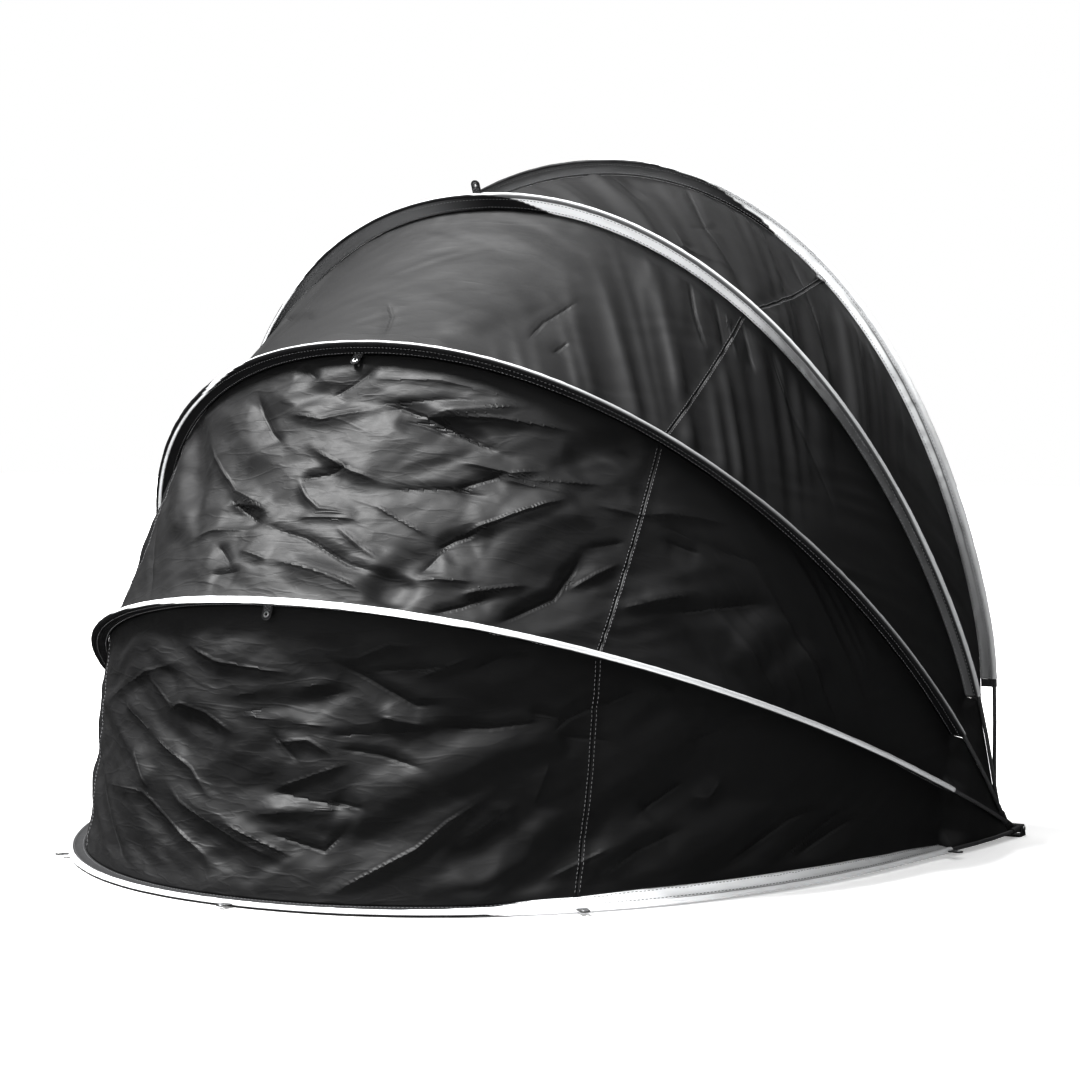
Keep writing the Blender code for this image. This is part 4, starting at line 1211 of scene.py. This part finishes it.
def modelTab():
    t, half = tab, tab["thickness"] / 2
    piece = startBlock((-t["width"] / 2, 0, -half), (t["width"] / 2, t["length"], half))
    roundEdges(piece, t["tip"], 9, lambda place, run: place.y > t["length"] - 1e-4 and abs(run.z) > 1e-4)
    applyTo(piece, "BEVEL", width=t["rim"], segments=2, angle_limit=math.radians(60))
    joinTo(piece, startRound(t["hole"], (0, t["eyelet"], -0.01), (0, t["eyelet"], 0.01), 28, "Z"))
    return finishModel(piece)


eyelet = {"barrel": 0.0035, "height": 0.0036, "metal": 0.0005, "rim": 0.0001,
          "flare": ((1.35, 0.0), (1.30, 0.00025), (1.10, 0.00035))}


def modelEyelet():
    e, centre = eyelet, (0, tab["eyelet"], 0)
    half = e["height"] / 2
    ends = [(0, tab["eyelet"], z) for z in (-half, half)]
    piece = startRound(e["barrel"], *ends, 28, "Z", end_fill_type="NOTHING")
    for sign in (1, -1):
        openPiece(piece, "EDGE", lambda place, run: abs(place.z - sign * half) < 1e-5)
        for out, down in e["flare"]:
            bpy.ops.mesh.extrude_region_move(TRANSFORM_OT_translate={"value": (0, 0, -sign * down)})
            bpy.ops.transform.resize(value=(out, out, 1), center_override=centre)
        closePiece()
    faceOutwards(piece)
    applyTo(piece, "SOLIDIFY", thickness=e["metal"], offset=0)
    return finishModel(piece, e["rim"])


strap = {"width": 0.018, "length": 0.0266, "thickness": 0.0010, "loop": 0.0056, "rodAt": -0.00505,
         "columns": 7, "rim": 0.0002}


def modelStrap():
    # a strip that goes round the rod, with both its ends at the canopy's edge
    t = strap
    tail = [(t["length"], 0.0007), (t["length"] * 0.72, 0.0008), (t["length"] * 0.45, 0.0011),
            (0.006, 0.0019), (0.0028, 0.0026)]
    turns = np.radians(np.linspace(30, 330, 19))
    loop = [(t["rodAt"] + t["loop"] * math.cos(r), t["loop"] * math.sin(r)) for r in turns]
    path = [*tail, *loop, *((y, -z) for y, z in tail[::-1])]
    across = np.linspace(-t["width"] / 2, t["width"] / 2, t["columns"])
    places = np.array([(x, y, z) for y, z in path for x in across])
    mesh, _ = sheetMesh("strapModel", places, len(path), t["columns"])
    piece = bpy.data.objects.new("strapModel", mesh)
    bpy.context.scene.collection.objects.link(piece)
    applyTo(piece, "SOLIDIFY", thickness=t["thickness"], offset=0)
    faceOutwards(piece)
    return finishModel(piece, t["rim"])


fitting = {"eye": 0.010, "width": 0.0135, "bolt": 0.0034, "socket": 0.0066, "start": 0.006, "body": 0.012,
           "faces": ((0.0020, -0.0008), (0.0022, 0.0008)), "lip": 0.0013, "mouth": -0.003, "rim": 0.00025,
           "ribs": ((0.0006, 1.09), (0.0030, 1.0), (0.0006, 0.9174), (0.0052, 1.0)) * 3
           + ((0.0006, 1.09), (0.0070, 1.0), (0.0012, 0.93))}


def modelFitting():
    f = fitting
    half = f["width"] / 2
    piece = startRound(f["eye"], (-half, 0, 0), (half, 0, 0), 36)
    openPiece(piece, "FACE", lambda place, normal: abs(normal.x) > 0.9)
    for thickness, depth in f["faces"]:
        bpy.ops.mesh.inset(thickness=thickness)
        bpy.ops.mesh.extrude_region_shrink_fatten(TRANSFORM_OT_shrink_fatten={"value": depth})
    closePiece()
    socket = startRound(f["socket"], (0, f["start"], 0), (0, f["start"] + f["body"], 0), 28, "Y")
    openPiece(socket, "FACE", lambda place, normal: normal.y > 0.9)
    for step, grow in f["ribs"]:
        bpy.ops.mesh.extrude_region_move(TRANSFORM_OT_translate={"value": (0, step, 0)})
        bpy.ops.transform.resize(value=(grow, 1, grow), center_override=(0, 0, 0))
    bpy.ops.mesh.inset(thickness=f["lip"])
    bpy.ops.mesh.extrude_region_move(TRANSFORM_OT_translate={"value": (0, f["mouth"], 0)})
    closePiece()
    joinTo(piece, socket, "UNION")
    joinTo(piece, startRound(f["bolt"], (-0.02, 0, 0), (0.02, 0, 0), 28))
    return finishModel(piece, f["rim"])


bracket = {"inner": 1.01395, "outer": 1.08605, "wall": 0.003, "half": 0.022, "ear": 0.010, "corner": 0.007,
           "pegHole": 0.0026, "pegAt": 0.0165, "pegInset": 0.016, "earSpread": 1.7, "rim": 0.0005}


def modelBracket():
    b, y, z = bracket, hinge[1], hinge[2]
    low, high = b["inner"] - b["wall"], b["outer"] + b["wall"]
    piece = startBlock((low, y - b["half"], 0), (high, y + b["half"], b["wall"]))
    roundEdges(piece, b["corner"], 6, lambda place, run: abs(run.z) > 1e-4)
    top = z + b["ear"]
    for start, end in ((low, b["inner"]), (b["outer"], high)):
        ear = startBlock((start, y - b["ear"], b["wall"] / 2), (end, y + b["ear"], top))
        roundEdges(ear, b["ear"] * 0.99, 9, lambda place, run: place.z > top - 1e-4 and abs(run.x) > 1e-4)
        openPiece(ear, "FACE", lambda place, normal: normal.z < -0.9)
        bpy.ops.transform.resize(value=(1, b["earSpread"], 1), center_override=(start, y, 0))
        closePiece()
        joinTo(piece, ear, "UNION")
    for spot in (low + b["pegInset"], high - b["pegInset"]):
        for side in (-1, 1):
            where = (spot, y + side * b["pegAt"])
            joinTo(piece, startRound(b["pegHole"], (*where, -0.01), (*where, 0.01), 20, "Z"))
    joinTo(piece, startRound(fitting["bolt"], (low - 0.01, y, z), (high + 0.01, y, z), 28))
    return finishModel(piece, b["rim"])


bolt = {"tip": 1.00265, "head": 1.08935, "radius": 0.003, "crown": 0.0060, "high": 0.0035, "key": 0.0024,
        "keyFloor": 0.0012, "round": 0.0018, "rim": 0.00025}


def modelBolt():
    b, y, z = bolt, hinge[1], hinge[2]
    top = b["head"] + b["high"]
    piece = startRound(b["crown"], (b["head"], y, z), (top, y, z), 32)
    roundEdges(piece, b["round"], 4, lambda place, run: place.x > top - 1e-5)
    joinTo(piece, startRound(b["key"], (b["head"] + b["keyFloor"], y, z), (b["head"] + 0.006, y, z), 6))
    joinTo(piece, startRound(b["radius"], (b["tip"], y, z), (b["head"] + 0.0005, y, z), 24), "UNION")
    return finishModel(piece, b["rim"])


nut = {"near": 1.01065, "thick": 0.005, "radius": 0.0062, "gap": 0.0001, "rim": 0.0005}


def modelNut():
    n, y, z = nut, hinge[1], hinge[2]
    piece = startRound(n["radius"], (n["near"] - n["thick"], y, z), (n["near"], y, z), 6)
    hole = startRound(bolt["radius"] + n["gap"], (n["near"] - 0.01, y, z), (n["near"] + 0.01, y, z), 24)
    joinTo(piece, hole)
    return finishModel(piece, n["rim"])


def footMatrix(hoop, side):
    spot = Vector(inSpace(hoop, side * (arch["halfWidth"] + footOffsets[hoop]), 0.0, 0.0))
    out = Vector(inSpace(hoop, 0.0, 1.0, 0.0) - hinge)
    across = Vector((1, 0, 0))
    return Matrix.Translation(spot) @ Matrix((across, out, across.cross(out))).transposed().to_4x4()


# each tab's hoop, its place in degrees, which way it points and how far it is shifted along the hoop
mouth, mouthShift = arch["sleeveStart"], 0.011
tabPlaces = {
    "base_ring_tab_right_end": ("base_ring", mouth, "out", mouthShift),
    "base_ring_tab_right": ("base_ring", seamDegrees, "out", 0),
    "base_ring_tab_front": ("base_ring", 90, "out", 0),
    "base_ring_tab_left": ("base_ring", 180 - seamDegrees, "out", 0),
    "base_ring_tab_left_end": ("base_ring", 180 - mouth, "out", -mouthShift),
    "hoop_1_tab": ("hoop_1", 90, "down", 0),
    "hoop_2_tab": ("hoop_2", 90, "down", 0),
    "hoop_3_tab": ("hoop_3", 90, "out", 0),
    "rear_hoop_tab_right": ("rear_hoop", seamDegrees, "down", 0),
    "rear_hoop_tab_left": ("rear_hoop", 180 - seamDegrees, "down", 0),
}


def boxStitches():
    # a stitched box with its cross, near the tab's root, as places and runs along the tab
    near, far, half = tab["box"]
    corners = [(-half, near), (half, near), (half, far), (-half, far)]
    lines = [*zip(corners, corners[1:] + corners[:1]), (corners[0], corners[2]), (corners[1], corners[3])]
    places, runs = [], []
    for start, end in lines:
        start, end = np.array(start), np.array(end)
        count = max(int(np.linalg.norm(end - start) / tab["stitchPitch"]), 2)
        for k in range(count):
            places.append(start + (end - start) * (k + 0.5) / count)
            runs.append((end - start) / np.linalg.norm(end - start))
    return np.array(places), np.array(runs)


def makeTabs():
    tabModel, eyeletModel = modelTab(), modelEyelet()
    slope = (sleeveDrop - arch["finHalf"]) / arch["fin"]
    hangLift = -(sleeveDrop - tab["hang"] * slope) - arch["seatGap"] - slope * tab["thickness"]
    flat, runs = boxStitches()
    for name, (hoop, degrees, way, shift) in tabPlaces.items():
        outward, lift = (tab["face"], 0.0) if way == "out" else (-tab["hang"], hangLift)
        matrix = placeMatrix(hoop, degrees, outward, lift, way, shift)
        placeCopy(tabModel, name, "webbing", matrix, "webbing", hoop)
        placeCopy(eyeletModel, name.replace("tab", "eyelet"), "ring", matrix, "steel", hoop)
        turn = np.array(matrix.to_3x3())
        flatRuns = np.column_stack([runs, np.zeros(len(runs))]) @ turn.T
        both = []
        for face in (1, -1):
            spots = np.column_stack([flat, np.full(len(flat), face * (tab["thickness"] / 2 + 0.0001))])
            upright = np.tile(turn[:, 2] * face, (len(flat), 1))
            both.append((spots @ turn.T + np.array(matrix.translation), flatRuns, upright))
        rows = (np.concatenate(v) for v in zip(*both))
        piece = stitchMesh(f"{name}_stitches", *rows, size=tab["stitchSize"])
        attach(piece, hoop)
        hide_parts(name)
    for model in (tabModel, eyeletModel):
        bpy.data.objects.remove(model)


def makeStraps():
    model = modelStrap()
    beside = strap["width"] / 2 + 0.0003
    for label, degrees, shift in (("right", mouth, -beside), ("left", 180 - mouth, beside)):
        matrix = placeMatrix("rear_hoop", degrees, strap["rodAt"], 0.0, "in", shift)
        placeCopy(model, f"rear_hoop_strap_{label}", "webbing", matrix, "webbing", "rear_hoop")
    bpy.data.objects.remove(model)


def makeHingeStack():
    model = modelFitting()
    for hoop in hoopNames:
        for label, side in (("right", 1), ("left", -1)):
            matrix = footMatrix(hoop, side)
            placeCopy(model, f"{hoop}_end_{label}", "moulding", matrix, "nylon", hoop)
    bpy.data.objects.remove(model)
    makers = {"bracket": (modelBracket, "nylon", "moulding"), "bolt": (modelBolt, "steel", "steel"),
              "nut": (modelNut, "steel", "steel")}
    for part, (make, finish, slot) in makers.items():
        model = make()
        for label, matrix in (("right", Matrix()), ("left", Matrix.Scale(-1, 4, (1, 0, 0)))):
            placeCopy(model, f"hinge_{part}_{label}", "piece", matrix, finish, "base_ring")
        bpy.data.objects.remove(model)


makeTabs()
makeStraps()
makeHingeStack()
print("tabs, straps and hinge stack made")


# floor, light and view
studio = {"floorSize": 60.0, "sunPower": 7.7, "sunAngle": 15, "sunFrom": (-0.42, -0.25, 0.87),
          "skyBright": 0.55, "skyTop": 0.95, "skyDark": 0.03, "gamma": 0.80}
bpy.ops.mesh.primitive_plane_add(size=studio["floorSize"], location=(0, 0, 0))
floor = bpy.context.object
floor.name = "floor"
floor.data.materials.append(finishes["floor"])
# the floor lights the cloth from below and shows in no gloss
floor.visible_glossy = False
floor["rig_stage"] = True

sun = bpy.data.lights.new("softSun", "SUN")
sun.energy, sun.angle = studio["sunPower"], math.radians(studio["sunAngle"])
lamp = bpy.data.objects.new("softSun", sun)
bpy.context.scene.collection.objects.link(lamp)
lamp.rotation_euler = Vector(studio["sunFrom"]).to_track_quat("Z", "Y").to_euler()

# the sky is bright on the sun's side and dark away from it, and plain white where the camera looks at it
world = bpy.data.worlds.new("studio")
bpy.context.scene.world = world
world.use_nodes = True
w = Wire(world.node_tree)
seen = w.add("ShaderNodeLightPath", {}, {}, 0)
around = w.add("ShaderNodeTexCoord", {}, {}, 0)
facing = w.add("ShaderNodeVectorMath", {"operation": "DOT_PRODUCT"}, {0: around, 1: studio["sunFrom"]}, 1)
side = ramp(w, facing * 0.5 + 0.5, (0.45, 0.0), (0.95, 1.0))
above = ramp(w, w.add("ShaderNodeSeparateXYZ", {}, {0: around}, 2), (0.35, 0.0), (1.0, 1.0))
sky = side * studio["skyBright"] + above * studio["skyTop"] + studio["skyDark"]
background = world.node_tree.nodes["Background"]
background.inputs["Color"].default_value = (1, 1, 1, 1)
plug(seen * (1 - sky) + sky, background, "Strength")
view = bpy.context.scene.view_settings
view.view_transform, view.look, view.gamma = "Standard", "None", studio["gamma"]

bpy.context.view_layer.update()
made = [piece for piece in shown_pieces() if "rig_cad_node" not in piece]
print("triangles of new pieces:", sum(len(piece.data.polygons) * 2 for piece in made))
